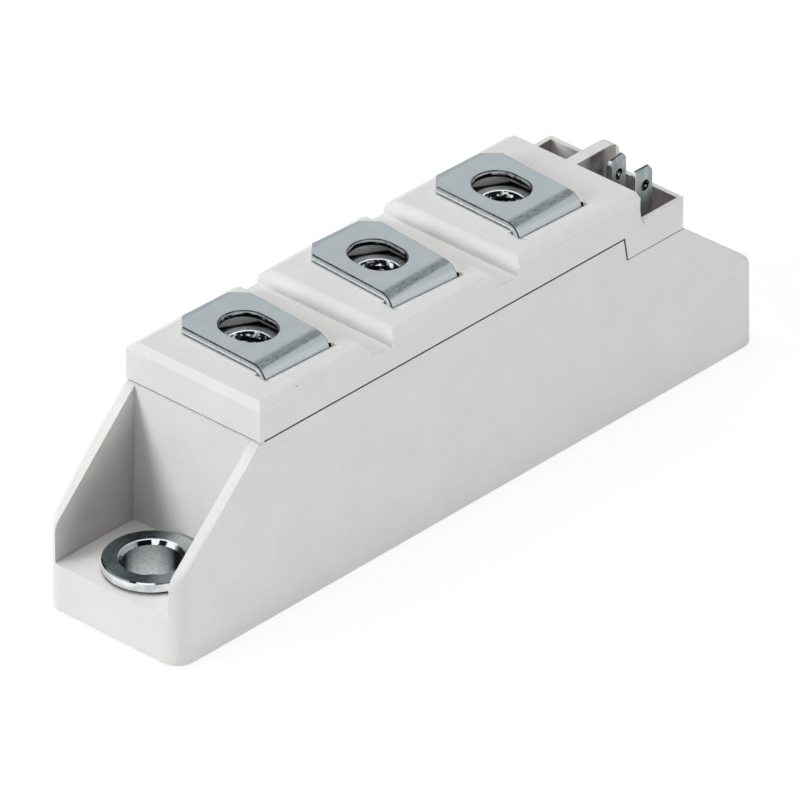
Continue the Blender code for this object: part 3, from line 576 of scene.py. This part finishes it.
for number, x, turn in TERMINALS:
    pocket = rod("nut_pocket", (x, SLOT_CENTRE), (NUT_FLATS / 2 + 0.3 * MM) / math.cos(math.pi / 6),
                 (NUT_TOP - NUT_THICKNESS - 0.3 * MM, 40 * MM), 6)
    combine(lid, pocket)
    dip = block("dip", (x - LEG_HALF - 0.2 * MM, x + LEG_RIGHT + 0.42 * MM), (LEG_FACE - 1.4 * MM, LEG_FACE + 0.05 * MM),
                (LID_TOP - 0.45 * MM, LID_TOP + MM))
    push(dip, "VERT", lambda vert: vert.co.y < LEG_FACE - MM and vert.co.z < LID_TOP, (0, 0, 0.5 * MM))
    side_dip = block("side_dip", (x - LEG_HALF - 0.75 * MM, x - LEG_HALF + 0.25 * MM), (LEG_FACE - 0.9 * MM, LEG_FACE + 1.3 * MM),
                     (LID_TOP - 0.45 * MM, LID_TOP + MM))
    push(side_dip, "VERT", lambda vert: vert.co.x < x - LEG_HALF and vert.co.z < LID_TOP, (0, 0, 0.5 * MM))
    for cut in (dip, side_dip):
        skew(cut, turn, x)
        combine(lid, cut)
soften(lid, 0.13 * MM)
for number, x, turn in TERMINALS:
    slot = block("leg_slot", (x - LEG_HALF - 0.04 * MM, x + LEG_RIGHT + 0.13 * MM), (LEG_FACE - 0.03 * MM, LEG_FACE + 0.27 * MM),
                 (10 * MM, 40 * MM))
    skew(slot, turn, x)
    combine(lid, slot)
select(lid, "VERT", lambda vert: True)
bpy.ops.mesh.remove_doubles(threshold=0.02 * MM)
close()
for x, y in ((27.5 * MM, -9.86 * MM), (-27.2 * MM, -9.33 * MM)):
    combine(lid, rod("mould_flaw", (x, y), 0.1 * MM, (23.4 * MM, 40 * MM), 8))
bpy.ops.object.select_all(action="DESELECT")
if lid.data.has_custom_normals:
    alone(lid)
    bpy.ops.mesh.customdata_custom_splitnormals_clear()
shade(lid)


def lid_finish(face):
    """Outside, the gate box's inside in painted shade (all but the far compartment's rear wall), nut pocket with
    painted sheen and shade, or the notch by the leg in painted shade, told apart by where a face of the lid stands.
    """
    place = face.center
    if abs(face.normal.z) < 0.5 and place.z > LID_BOTTOM - 2 * MM:
        for number, x, turn in TERMINALS:
            if math.hypot(place.x - x, place.y - SLOT_CENTRE) < 5.2 * MM:
                return 2
    if abs(face.normal.z) < 0.1 and LID_BOTTOM < place.z < LID_TOP - 0.9 * MM and place.x < BOX_FRONT - MM \
            and abs(place.y - LEG_FACE - 0.4 * MM) < MM:
        return 3
    within = BOX_FRONT - 0.05 * MM < place.x < BOX_REAR + 0.05 * MM and abs(place.y) < BOX_INSIDE + 0.05 * MM \
        and place.z < LID_TOP - 0.15 * MM and abs(face.normal.z) < 0.9
    return 1 if within and (face.normal.x > -0.5 or place.y < 0) or place.z < BOX_FLOOR + 0.1 * MM else 0


# The same polyester inside the gate box, painted darker and browner as the shade in it, and a little rougher.
box_painted_shade, tree = new_material("polyester_painted_shade_box")
painted_shade_mottle = add_node(tree, "ShaderNodeTexNoise", [("Vector", object_pattern(tree, [1.5 * MM] * 3))], Scale=1.0, Detail=5.0)
finish_material(tree, tinted(tree, painted_shade_mottle, "#a19c98", "#b7b3b0"), ranged(tree, painted_shade_mottle, 0.6, 0.8), painted_shade_mottle, 0.02 * MM, 0.15, IOR=1.5)

# The nut pockets' walls: polyester made a white metal so that it shows a painted sheen of the white surround,
# and painted black as shade below the nut's top.
pocket_wall, tree = new_material("polyester_painted_sheen_and_shade")
place = add_node(tree, "ShaderNodeTexCoord")
level = add_node(tree, "ShaderNodeSeparateXYZ", [("Vector", place.outputs["Object"])])
painted_shade_cutoff = add_node(tree, "ShaderNodeMapRange", [("Value", level.outputs["Z"])], From_Min=25.75 * MM, From_Max=25.95 * MM)
smear = metal_pattern(tree, [0.8 * MM] * 3, (0, 0, 0))
finish_material(tree, tinted(tree, painted_shade_cutoff, "#0c0c0c", "#ffffff", 0.0, 1.0), ranged(tree, smear, 0.6, 0.75), smear, 0.01 * MM, 0.2,
                Metallic=1.0)
lay_materials(lid, (polyester, box_painted_shade, pocket_wall, black_painted_shade), lid_finish)
fit(lid, "moulding", "lid")


# Joint shade strip: a near black strip set into the joint between lid and housing, standing in for the shade in its
# gap. It follows the step, and is seen only as the dark line of the joint.
SHADE_STRIP_INSET = 0.24 * MM
joint_shade_strip = block("joint_painted_shade_strip", (-32.6 * MM, STEP_FACE), (SHADE_STRIP_INSET - HALF_WIDTH, HALF_WIDTH - SHADE_STRIP_INSET),
             (HOUSING_TOP - 0.2 * MM, LID_BOTTOM + 0.2 * MM))
for x_range, z_range in (((STEP_FACE - 0.2 * MM, STEP_FACE + 0.65 * MM), (STEP_LEVEL - 0.1 * MM, LID_BOTTOM + 0.1 * MM)),
                         ((STEP_FACE, LID_REAR - 0.15 * MM), (STEP_LEVEL - 0.2 * MM, STEP_UNDERSIDE + 0.2 * MM))):
    combine(joint_shade_strip, block("shade_strip_run", x_range, (SHADE_STRIP_INSET - HALF_WIDTH, HALF_WIDTH - SHADE_STRIP_INSET), z_range), "UNION")
combine(joint_shade_strip, block("shade_strip_inside", (-31.9 * MM, 32.4 * MM), (-8.4 * MM, 8.4 * MM), (10 * MM, 40 * MM)))
alone(joint_shade_strip)
bpy.ops.object.shade_smooth_by_angle(angle=math.radians(30))
# Painted shade: the strip is near black so that the joint's gap reads dark.
joint_shade_black, tree = new_material("joint_painted_shade")
wave = metal_pattern(tree, [1.2 * MM] * 3, (0, 0, 0))
finish_material(tree, tinted(tree, wave, "#100f0f", "#1c1b1a"), ranged(tree, wave, 0.5, 0.7), wave, 0.02 * MM)
lay_materials(joint_shade_strip, [joint_shade_black], lambda face: 0)
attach(joint_shade_strip, "root")


# Nuts: M5 steel hexagon nuts, zinc plated, lying loose in the pockets of the lid under the terminals'
# slots. They are cold formed with rounded corners and their threads are tapped; the lead-in carries a painted highlight
# and the flanks painted shade.
THREAD_CORE, THREAD_ROOT, PITCH = 2.1 * MM, 2.5 * MM, 0.8 * MM
LEAD_IN = 2.62 * MM
NUT_CROWN = 3.4 * MM

nut_bottom = NUT_TOP - NUT_THICKNESS
nut_outline = [(5.2 * MM, nut_bottom + 0.75 * MM), (5.2 * MM, NUT_TOP - 0.75 * MM), (NUT_CROWN, NUT_TOP), (LEAD_IN, NUT_TOP)]
nut_outline += [(LEAD_IN - 0.1 * MM, NUT_TOP - 0.08 * MM), (THREAD_CORE + 0.1 * MM, NUT_TOP - 0.5 * MM)]
level = NUT_TOP - 0.6 * MM
while level > nut_bottom + 0.9 * MM:
    nut_outline += [(THREAD_CORE, level), (THREAD_ROOT, level - PITCH / 2 + 0.05 * MM), (THREAD_ROOT, level - PITCH / 2 - 0.05 * MM)]
    level -= PITCH
nut_outline += [(THREAD_CORE, level), (LEAD_IN, nut_bottom), (NUT_CROWN, nut_bottom)]

# Zinc-plated steel: bluish white, slightly mottled, glossy enough to mirror its surroundings.
zinc, tree = new_material("zinc_plated_steel")
mottle = metal_pattern(tree, [0.6 * MM] * 3, (0, 0, 0))
finish_material(tree, tinted(tree, mottle, "#c8d0d3", "#e2e8ea"), ranged(tree, mottle, 0.24, 0.4), mottle, 0.01 * MM, 0.3,
                Metallic=0.6)

# Tapped thread, and the tabs' locking holes: painted shade, almost black, with painted glints.
thread, tree = new_material("thread_painted_shade_and_glints")
painted_glints = metal_pattern(tree, (0.6 * MM, 0.6 * MM, 0.4 * MM), (0, 0, 0), 2.0)
finish_material(tree, tinted(tree, painted_glints, "#14181a", "#f0f4f5", 0.5, 0.66), ranged(tree, painted_glints, 0.12, 0.2), painted_glints, 0.01 * MM,
                0.3, Metallic=1.0)


def nut_finish(face, x):
    """Flat faces, lead-in with a painted highlight, thread with painted shade and glints, or flanks in painted shade,
    told apart by where a face of the nut stands.
    """
    reach = math.hypot(face.center.x - x, face.center.y - SLOT_CENTRE)
    if abs(face.normal.z) > 0.95:
        return 0
    if reach > LEAD_IN:
        return 3
    return 1 if face.center.z > NUT_TOP - 0.08 * MM else 2


for number, x, turn in TERMINALS:
    nut = turn_profile(f"nut_{number}_threaded", nut_outline, (x, SLOT_CENTRE), 60)
    combine(nut, rod("flats", (x, SLOT_CENTRE), NUT_FLATS / 2 / math.cos(math.pi / 6), (0, 40 * MM), 6), "INTERSECT")
    alone(nut)
    bpy.ops.object.shade_smooth_by_angle(angle=math.radians(30))
    lay_materials(nut, (zinc, metal_painted_highlight, thread, black_painted_shade), lambda face: nut_finish(face, x))
    fit(nut, "turned_steel", f"nut_{number}")


# Terminals: 0.85 mm copper sheet, punched, tin plated and bent down over the edge of each land after the
# lid is on. The legs go through the lid to the tracks. The rims of their edges are painted dark as a reflection.
PLATE_TOP, PLATE_THICKNESS = 28.15 * MM, 0.85 * MM
PLATE_FAR, PLATE_FAR_HALF = 8.2 * MM, 5.15 * MM
BEND_RADIUS, FOOT_RADIUS = 1.95 * MM, 1.4 * MM
CORNER_CLIP, RIM_WIDTH = 1.7 * MM, 0.13 * MM
NECK_LEVEL, NECK_HALF = 20.9 * MM, 3.0 * MM
FOOT_LEVEL, FOOT_END = 4.85 * MM, -2.5 * MM
SLOT_RADIUS, SLOT_STRAIGHT = 2.75 * MM, 1.5 * MM
TIN_DARK, TIN_LIGHT = "#a6afb3", "#b1b9bd"

bend_start = LEG_FACE + BEND_RADIUS
bpy.ops.object.select_all(action="DESELECT")
bpy.ops.mesh.primitive_plane_add(size=1, location=(0, (PLATE_FAR + bend_start) / 2, PLATE_TOP))
bpy.context.object.scale = (2 * LEG_HALF, PLATE_FAR - bend_start, 1)
strip = settle("terminal_strip")
select(strip, "VERT", lambda vert: vert.co.y > SLOT_CENTRE)
bpy.ops.transform.resize(value=(PLATE_FAR_HALF / LEG_HALF, 1, 1), center_override=(0, 0, 0))
bpy.ops.mesh.bevel(offset=CORNER_CLIP, segments=1, affect="VERTICES")
close()


def sheet_bend(centre_y, centre_z):
    """Rolls the selected end of the strip a quarter turn round a bar."""
    bpy.ops.mesh.spin(steps=10, angle=-math.pi / 2, center=(0, centre_y, centre_z), axis=(1, 0, 0))


select(strip, "EDGE", lambda edge: abs(middle(edge).y - bend_start) < 0.01 * MM)
sheet_bend(bend_start, PLATE_TOP - BEND_RADIUS)
bpy.ops.mesh.extrude_region_move(TRANSFORM_OT_translate={"value": (0, 0, NECK_LEVEL - PLATE_TOP + BEND_RADIUS)})
bpy.ops.mesh.extrude_region_move(TRANSFORM_OT_translate={"value": (0, 0, -0.8 * MM)})
bpy.ops.transform.resize(value=(NECK_HALF / LEG_HALF, 1, 1), center_override=(0, 0, 0))
bpy.ops.mesh.extrude_region_move(
    TRANSFORM_OT_translate={"value": (0, 0, FOOT_LEVEL + FOOT_RADIUS - NECK_LEVEL + 0.8 * MM)})
sheet_bend(LEG_FACE + FOOT_RADIUS, FOOT_LEVEL + FOOT_RADIUS)
bpy.ops.mesh.extrude_region_move(TRANSFORM_OT_translate={"value": (0, FOOT_END - LEG_FACE - FOOT_RADIUS, 0)})
bpy.ops.mesh.select_all(action="SELECT")
bpy.ops.mesh.remove_doubles(threshold=0.002 * MM)
bpy.ops.mesh.normals_make_consistent(inside=False)
close()
plate = max(strip.data.polygons, key=lambda face: face.area)
if plate.normal.z < 0:
    strip.data.flip_normals()

# Tin plating on rolled copper: satin bluish grey, slightly mottled, with faint rolling lines. A darker streaked
# band across the bend is partly stretched plating and partly painted reflection.
tin, tree = new_material("tin_plated_copper")
mottle = add_node(tree, "ShaderNodeTexNoise", [("Vector", object_pattern(tree, [2.2 * MM] * 3))], Scale=1.0, Detail=7.0,
                  Roughness=0.65)
rolled = add_node(tree, "ShaderNodeTexNoise", [("Vector", object_pattern(tree, (0.15 * MM, 4 * MM, 4 * MM)))], Scale=1.0,
                  Detail=4.0)
both = add_node(tree, "ShaderNodeMath", [(0, mottle), (1, rolled)], operation="ADD")
both = add_node(tree, "ShaderNodeMapRange", [("Value", both)], From_Max=2.0)
plain = tinted(tree, both, TIN_DARK, TIN_LIGHT, 0.38, 0.62)
streaks = add_node(tree, "ShaderNodeTexNoise", [("Vector", object_pattern(tree, (0.7 * MM, 0.18 * MM, 0.18 * MM)))], Scale=1.0,
                   Detail=6.0)
place = add_node(tree, "ShaderNodeTexCoord")
height = add_node(tree, "ShaderNodeSeparateXYZ", [("Vector", place.outputs["Object"])])
below = add_node(tree, "ShaderNodeMapRange", [("Value", height.outputs["Y"])], interpolation_type="SMOOTHSTEP",
                 From_Min=-5.4 * MM, From_Max=-5.05 * MM)
above = add_node(tree, "ShaderNodeMapRange", [("Value", height.outputs["Y"])], interpolation_type="SMOOTHSTEP",
                 From_Min=-3.7 * MM, From_Max=-4.5 * MM)
# The band across the bend: partly stretched plating, partly painted reflection.
band = add_node(tree, "ShaderNodeMath", [(0, below), (1, above)], operation="MULTIPLY")
stretch_and_painted_dark = add_node(tree, "ShaderNodeMapRange", [("Value", streaks)], From_Min=0.0, From_Max=0.75)
stretch_and_painted_dark = add_node(tree, "ShaderNodeMath", [(0, stretch_and_painted_dark), (1, band)], operation="MULTIPLY")
# Painted shade: darker along the plate's far edge.
painted_edge_shade = add_node(tree, "ShaderNodeMapRange", [("Value", height.outputs["Y"])], interpolation_type="SMOOTHSTEP",
                    From_Min=7.45 * MM, From_Max=7.75 * MM, To_Max=0.22)
stretch_and_painted_dark = add_node(tree, "ShaderNodeMath", [(0, stretch_and_painted_dark), (1, painted_edge_shade)], operation="MAXIMUM")
# Painted reflection: lighter on the lower bend and the legs.
down = add_node(tree, "ShaderNodeMapRange", [("Value", height.outputs["Z"])], interpolation_type="SMOOTHSTEP",
                From_Min=27.8 * MM, From_Max=27.1 * MM)
with_painted_light = add_node(tree, "ShaderNodeMixRGB", [("Fac", down), ("Color1", plain)], Color2=hex_colour("#c3c9cc"))
colour = add_node(tree, "ShaderNodeMixRGB", [("Fac", stretch_and_painted_dark), ("Color1", with_painted_light)], Color2=hex_colour("#5c6569"))
finish_material(tree, colour, ranged(tree, both, 0.26, 0.44), both, 0.012 * MM, 0.3, Metallic=1.0)

# Punched edge of the sheet: smeared with tin, brighter than the face, in faint upright lines.
punched, tree = new_material("punched_tinned_edge")
burnish = metal_pattern(tree, (0.5 * MM, 0.5 * MM, 2 * MM), (0, 0, 0), 3.0)
place = add_node(tree, "ShaderNodeTexCoord")
height = add_node(tree, "ShaderNodeSeparateXYZ", [("Vector", place.outputs["Object"])])
sheared = add_node(tree, "ShaderNodeMapRange", [("Value", height.outputs["Z"])], From_Min=27.62 * MM, From_Max=27.78 * MM,
                   To_Max=0.85)
colour = add_node(tree, "ShaderNodeMixRGB", [("Fac", sheared), ("Color1", tinted(tree, burnish, "#dde2e4", "#f7f9fa"))],
                  Color2=hex_colour("#b3babd"))
finish_material(tree, colour, ranged(tree, burnish, 0.14, 0.26), burnish, 0.01 * MM, 0.3, Metallic=1.0)

# Rolled-over rim: the sheet's narrow broken edges and the tabs' tops, painted dark as a reflection.
edge_painted_dark, tree = new_material("rim_painted_dark_reflection")
rim_mottle = metal_pattern(tree, [1.5 * MM] * 3, (0, 0, 0))
finish_material(tree, tinted(tree, rim_mottle, "#32383a", "#687073", 0.4, 0.65), ranged(tree, rim_mottle, 0.3, 0.45), rim_mottle, 0.01 * MM, 0.2,
                Metallic=1.0)

# Wall of the screw slot: painted reflection, almost black below, with a light band along its upper part.
slot_wall, tree = new_material("slot_wall_painted_reflection")
slot_mottle = metal_pattern(tree, (1.2 * MM, 1.2 * MM, 0.3 * MM), (0, 0, 0), 3.0)
place = add_node(tree, "ShaderNodeTexCoord")
height = add_node(tree, "ShaderNodeSeparateXYZ", [("Vector", place.outputs["Object"])])
line = add_node(tree, "ShaderNodeMapRange", [("Value", height.outputs["Z"])], From_Min=27.45 * MM, From_Max=28.15 * MM,
                To_Min=-0.25, To_Max=0.35)
line = add_node(tree, "ShaderNodeMath", [(0, line), (1, slot_mottle)], operation="ADD")
finish_material(tree, tinted(tree, line, "#0c0e0f", "#f4f7f8", 0.5, 0.62), ranged(tree, line, 0.2, 0.75), slot_mottle, 0.01 * MM,
                0.3, Metallic=1.0)

for material in (tin, punched, edge_painted_dark, slot_wall):
    strip.data.materials.append(material)
push(strip, "VERT", lambda vert: vert.co.x > LEG_HALF - 0.01 * MM and vert.co.y < bend_start + 0.01 * MM,
     (LEG_RIGHT - LEG_HALF, 0, 0))
apply_modifier(strip, "SOLIDIFY", thickness=PLATE_THICKNESS, offset=-1, material_offset_rim=1)
screw_slot = rod("screw_slot", (0, SLOT_CENTRE), SLOT_RADIUS, (PLATE_TOP - 2 * MM, PLATE_TOP + 2 * MM), 96)
for side in (-1, 1):
    push(screw_slot, "VERT", lambda vert: (vert.co.y - SLOT_CENTRE) * side > 0.01 * MM, (0, side * SLOT_STRAIGHT / 2, 0))
lay_materials(screw_slot, (tin, punched, edge_painted_dark, slot_wall), lambda face: 3)
combine(strip, screw_slot)
# The bevel's faces take the rim's painted dark reflection.
apply_modifier(strip, "BEVEL", width=RIM_WIDTH, segments=2, limit_method="ANGLE", angle_limit=math.radians(35), material=2)
for face in strip.data.polygons:
    if face.material_index == 2 and face.center.z > PLATE_TOP - PLATE_THICKNESS:
        if abs(face.normal.z) < 0.2:
            face.material_index = 1
        elif face.normal.y > 0.1 and face.center.y > PLATE_FAR - CORNER_CLIP - 0.1 * MM:
            face.material_index = 0
alone(strip)
bpy.ops.object.shade_smooth_by_angle(angle=math.radians(50))
apply_modifier(strip, "WEIGHTED_NORMAL", keep_sharp=True)
for number, x, turn in TERMINALS:
    terminal = strip.copy()
    terminal.data = strip.data.copy()
    terminal.name = f"terminal_{number}_bent_sheet"
    bpy.context.scene.collection.objects.link(terminal)
    push(terminal, "VERT", lambda vert: True, (x, 0, 0))
    skew(terminal, turn, x)
    fit(terminal, "tinned_copper", f"terminal_{number}")
bpy.data.objects.remove(strip, do_unlink=True)


# Gate tabs: 2.8 x 0.8 mm push-on tabs of tin-plated brass, punched with a locking hole and coined to a
# blunt wedge at the tip. They stand in the near compartment, and the gate tab is slightly turned.
TAB_HALF_WIDTH, TAB_HALF_THICKNESS = 1.4 * MM, 0.4 * MM
TAB_BOTTOM, TAB_TOP = 16.2 * MM, 27.95 * MM
TAB_HOLE_RADIUS, TAB_HOLE_DROP = 0.65 * MM, 2.07 * MM

# Tin on brass: satin mid grey with a green cast, a little cloudy.
tinned_brass, tree = new_material("tinned_brass")
cloud = metal_pattern(tree, (0.8 * MM, 0.8 * MM, 1.6 * MM), (0, 0, 0))
finish_material(tree, tinted(tree, cloud, "#8e9a9b", "#b4bebf"), ranged(tree, cloud, 0.42, 0.58), cloud, 0.01 * MM, 0.3,
                Metallic=1.0)


def tab_finish(face):
    """Broad faces, clipped corners with a painted highlight, the top painted dark as a reflection, punched edges, or
    the hole in painted shade, told apart by a face's direction.
    """
    if face.normal.z > 0.9:
        return 2
    if abs(face.normal.x) > 0.5:
        return 1 if face.normal.z > 0.2 else 4
    return 0


for node, y, aside, turn in (("cathode_tab", -6.95 * MM, 0.2 * MM, 0.0), ("gate_tab", -3.25 * MM, 0, 8.0)):
    tab = block(f"{node}_punched", (TAB_X - TAB_HALF_WIDTH, TAB_X + TAB_HALF_WIDTH),
                (y - TAB_HALF_THICKNESS, y + TAB_HALF_THICKNESS), (TAB_BOTTOM, TAB_TOP))
    for side in (-1, 1):
        slice_off(tab, (TAB_X + side * TAB_HALF_WIDTH, y, TAB_TOP - 0.8 * MM), (side * 0.8, 0, 0.3))
        slice_off(tab, (TAB_X, y + side * TAB_HALF_THICKNESS, TAB_TOP - 0.5 * MM), (0, side * 0.5, 0.22))
    lay_materials(tab, (tinned_brass, metal_painted_highlight, edge_painted_dark, thread, punched), lambda face: 0)
    bpy.ops.object.select_all(action="DESELECT")
    bpy.ops.mesh.primitive_cylinder_add(vertices=32, radius=TAB_HOLE_RADIUS, depth=3 * MM, rotation=(math.pi / 2, 0, 0),
                                        location=(TAB_X + aside, y, TAB_TOP - TAB_HOLE_DROP))
    hole = settle("locking_hole")
    # The locking hole takes the painted shade with painted glints.
    lay_materials(hole, (tinned_brass, metal_painted_highlight, edge_painted_dark, thread, punched), lambda face: 3)
    combine(tab, hole)
    for face in tab.data.polygons:
        if face.material_index == 0:
            face.material_index = tab_finish(face)
    soften(tab, 0.06 * MM, 2, 25)
    select(tab, "VERT", lambda vert: True)
    bpy.ops.transform.rotate(value=-math.radians(turn), orient_axis="Z", center_override=(TAB_X, y, 0))
    close()
    fit(tab, "tinned_copper", node)


# The studio: a plain white paper floor, a white surround, three soft lamps and a long lens at the front
# left of the module, looking down on it.
bpy.ops.object.select_all(action="DESELECT")
bpy.ops.mesh.primitive_plane_add(size=6, location=(0, 0, 0))
floor = settle("floor")


def white_to_the_lens(tree):
    """One for the rays of the camera and of mirrors and glass, and nought for the light on things."""
    rays = add_node(tree, "ShaderNodeLightPath")
    seen = rays.outputs["Is Camera Ray"]
    for other in ("Is Glossy Ray", "Is Transmission Ray"):
        seen = add_node(tree, "ShaderNodeMath", [(0, seen), (1, rays.outputs[other])], operation="MAXIMUM").outputs[0]
    return seen


# White paper: matt, and lit from behind so that it washes out to pure white but keeps a soft shadow.
paper, tree = new_material("white_paper")
seen = white_to_the_lens(tree)
matt = add_node(tree, "ShaderNodeBsdfDiffuse", Color=hex_colour("#f4f4f4"))
glow = add_node(tree, "ShaderNodeEmission", Color=(1, 1, 1, 1), Strength=1.05)
washed = add_node(tree, "ShaderNodeMixShader", [(1, matt), (2, glow)], Fac=0.86)
surface = add_node(tree, "ShaderNodeMixShader", [("Fac", seen), (1, matt), (2, washed)])
add_node(tree, "ShaderNodeOutputMaterial", [("Surface", surface)])
floor.data.materials.append(paper)

world = bpy.data.worlds.new("white_surround")
bpy.context.scene.world = world
world.use_nodes = True
tree = world.node_tree
tree.nodes.clear()
seen = white_to_the_lens(tree)
room = add_node(tree, "ShaderNodeBackground", Color=(1, 1, 1, 1), Strength=0.045)
white = add_node(tree, "ShaderNodeBackground", Color=(1, 1, 1, 1), Strength=1.0)
sky = add_node(tree, "ShaderNodeMixShader", [("Fac", seen), (1, room), (2, white)])
add_node(tree, "ShaderNodeOutputWorld", [("Surface", sky)])


def softbox(name, direction, size, power):
    """A square lamp 0.8 m away, turned to the middle of the module."""
    lamp = bpy.data.lights.new(name, "AREA")
    lamp.size = size
    lamp.energy = power
    holder = bpy.data.objects.new(name, lamp)
    bpy.context.scene.collection.objects.link(holder)
    way = Vector(direction).normalized()
    holder.location = way * 0.8 + Vector((0, 0, 0.012))
    holder.rotation_euler = way.to_track_quat("Z", "Y").to_euler()
    holder.visible_glossy = False


softbox("key_softbox", (-1.0, 0.55, 0.35), 0.3, 3.95)
softbox("fill_softbox", (0.0, -1.0, 0.05), 0.3, 4.08)
softbox("top_softbox", (0.0, 0.2, 1.0), 0.5, 4.5)

AZIMUTH, ELEVATION, ROLL = (math.radians(angle) for angle in (-47.064, 31.466, -0.126))
back = Vector((
    math.sin(AZIMUTH) * math.cos(ELEVATION),
    -math.cos(AZIMUTH) * math.cos(ELEVATION),
    math.sin(ELEVATION),
))
right = Vector((math.cos(AZIMUTH), math.sin(AZIMUTH), 0))
up = back.cross(right)
lens = bpy.data.cameras.new("long_lens")
lens.sensor_width = 36
lens.lens = 689.55
lens.clip_start = 0.1
lens.clip_end = 20
camera = bpy.data.objects.new("camera", lens)
bpy.context.scene.collection.objects.link(camera)
rolled_right = right * math.cos(ROLL) + up * math.sin(ROLL)
rolled_up = up * math.cos(ROLL) - right * math.sin(ROLL)
camera.matrix_world = Matrix((rolled_right, rolled_up, back)).transposed().to_4x4()
camera.location = Vector((0, 0, 15.2 * MM)) - right * 0.62 * MM - up * 5.221 * MM + back * 1664.59 * MM
bpy.context.scene.camera = camera
bpy.context.scene.view_settings.view_transform = "Standard"
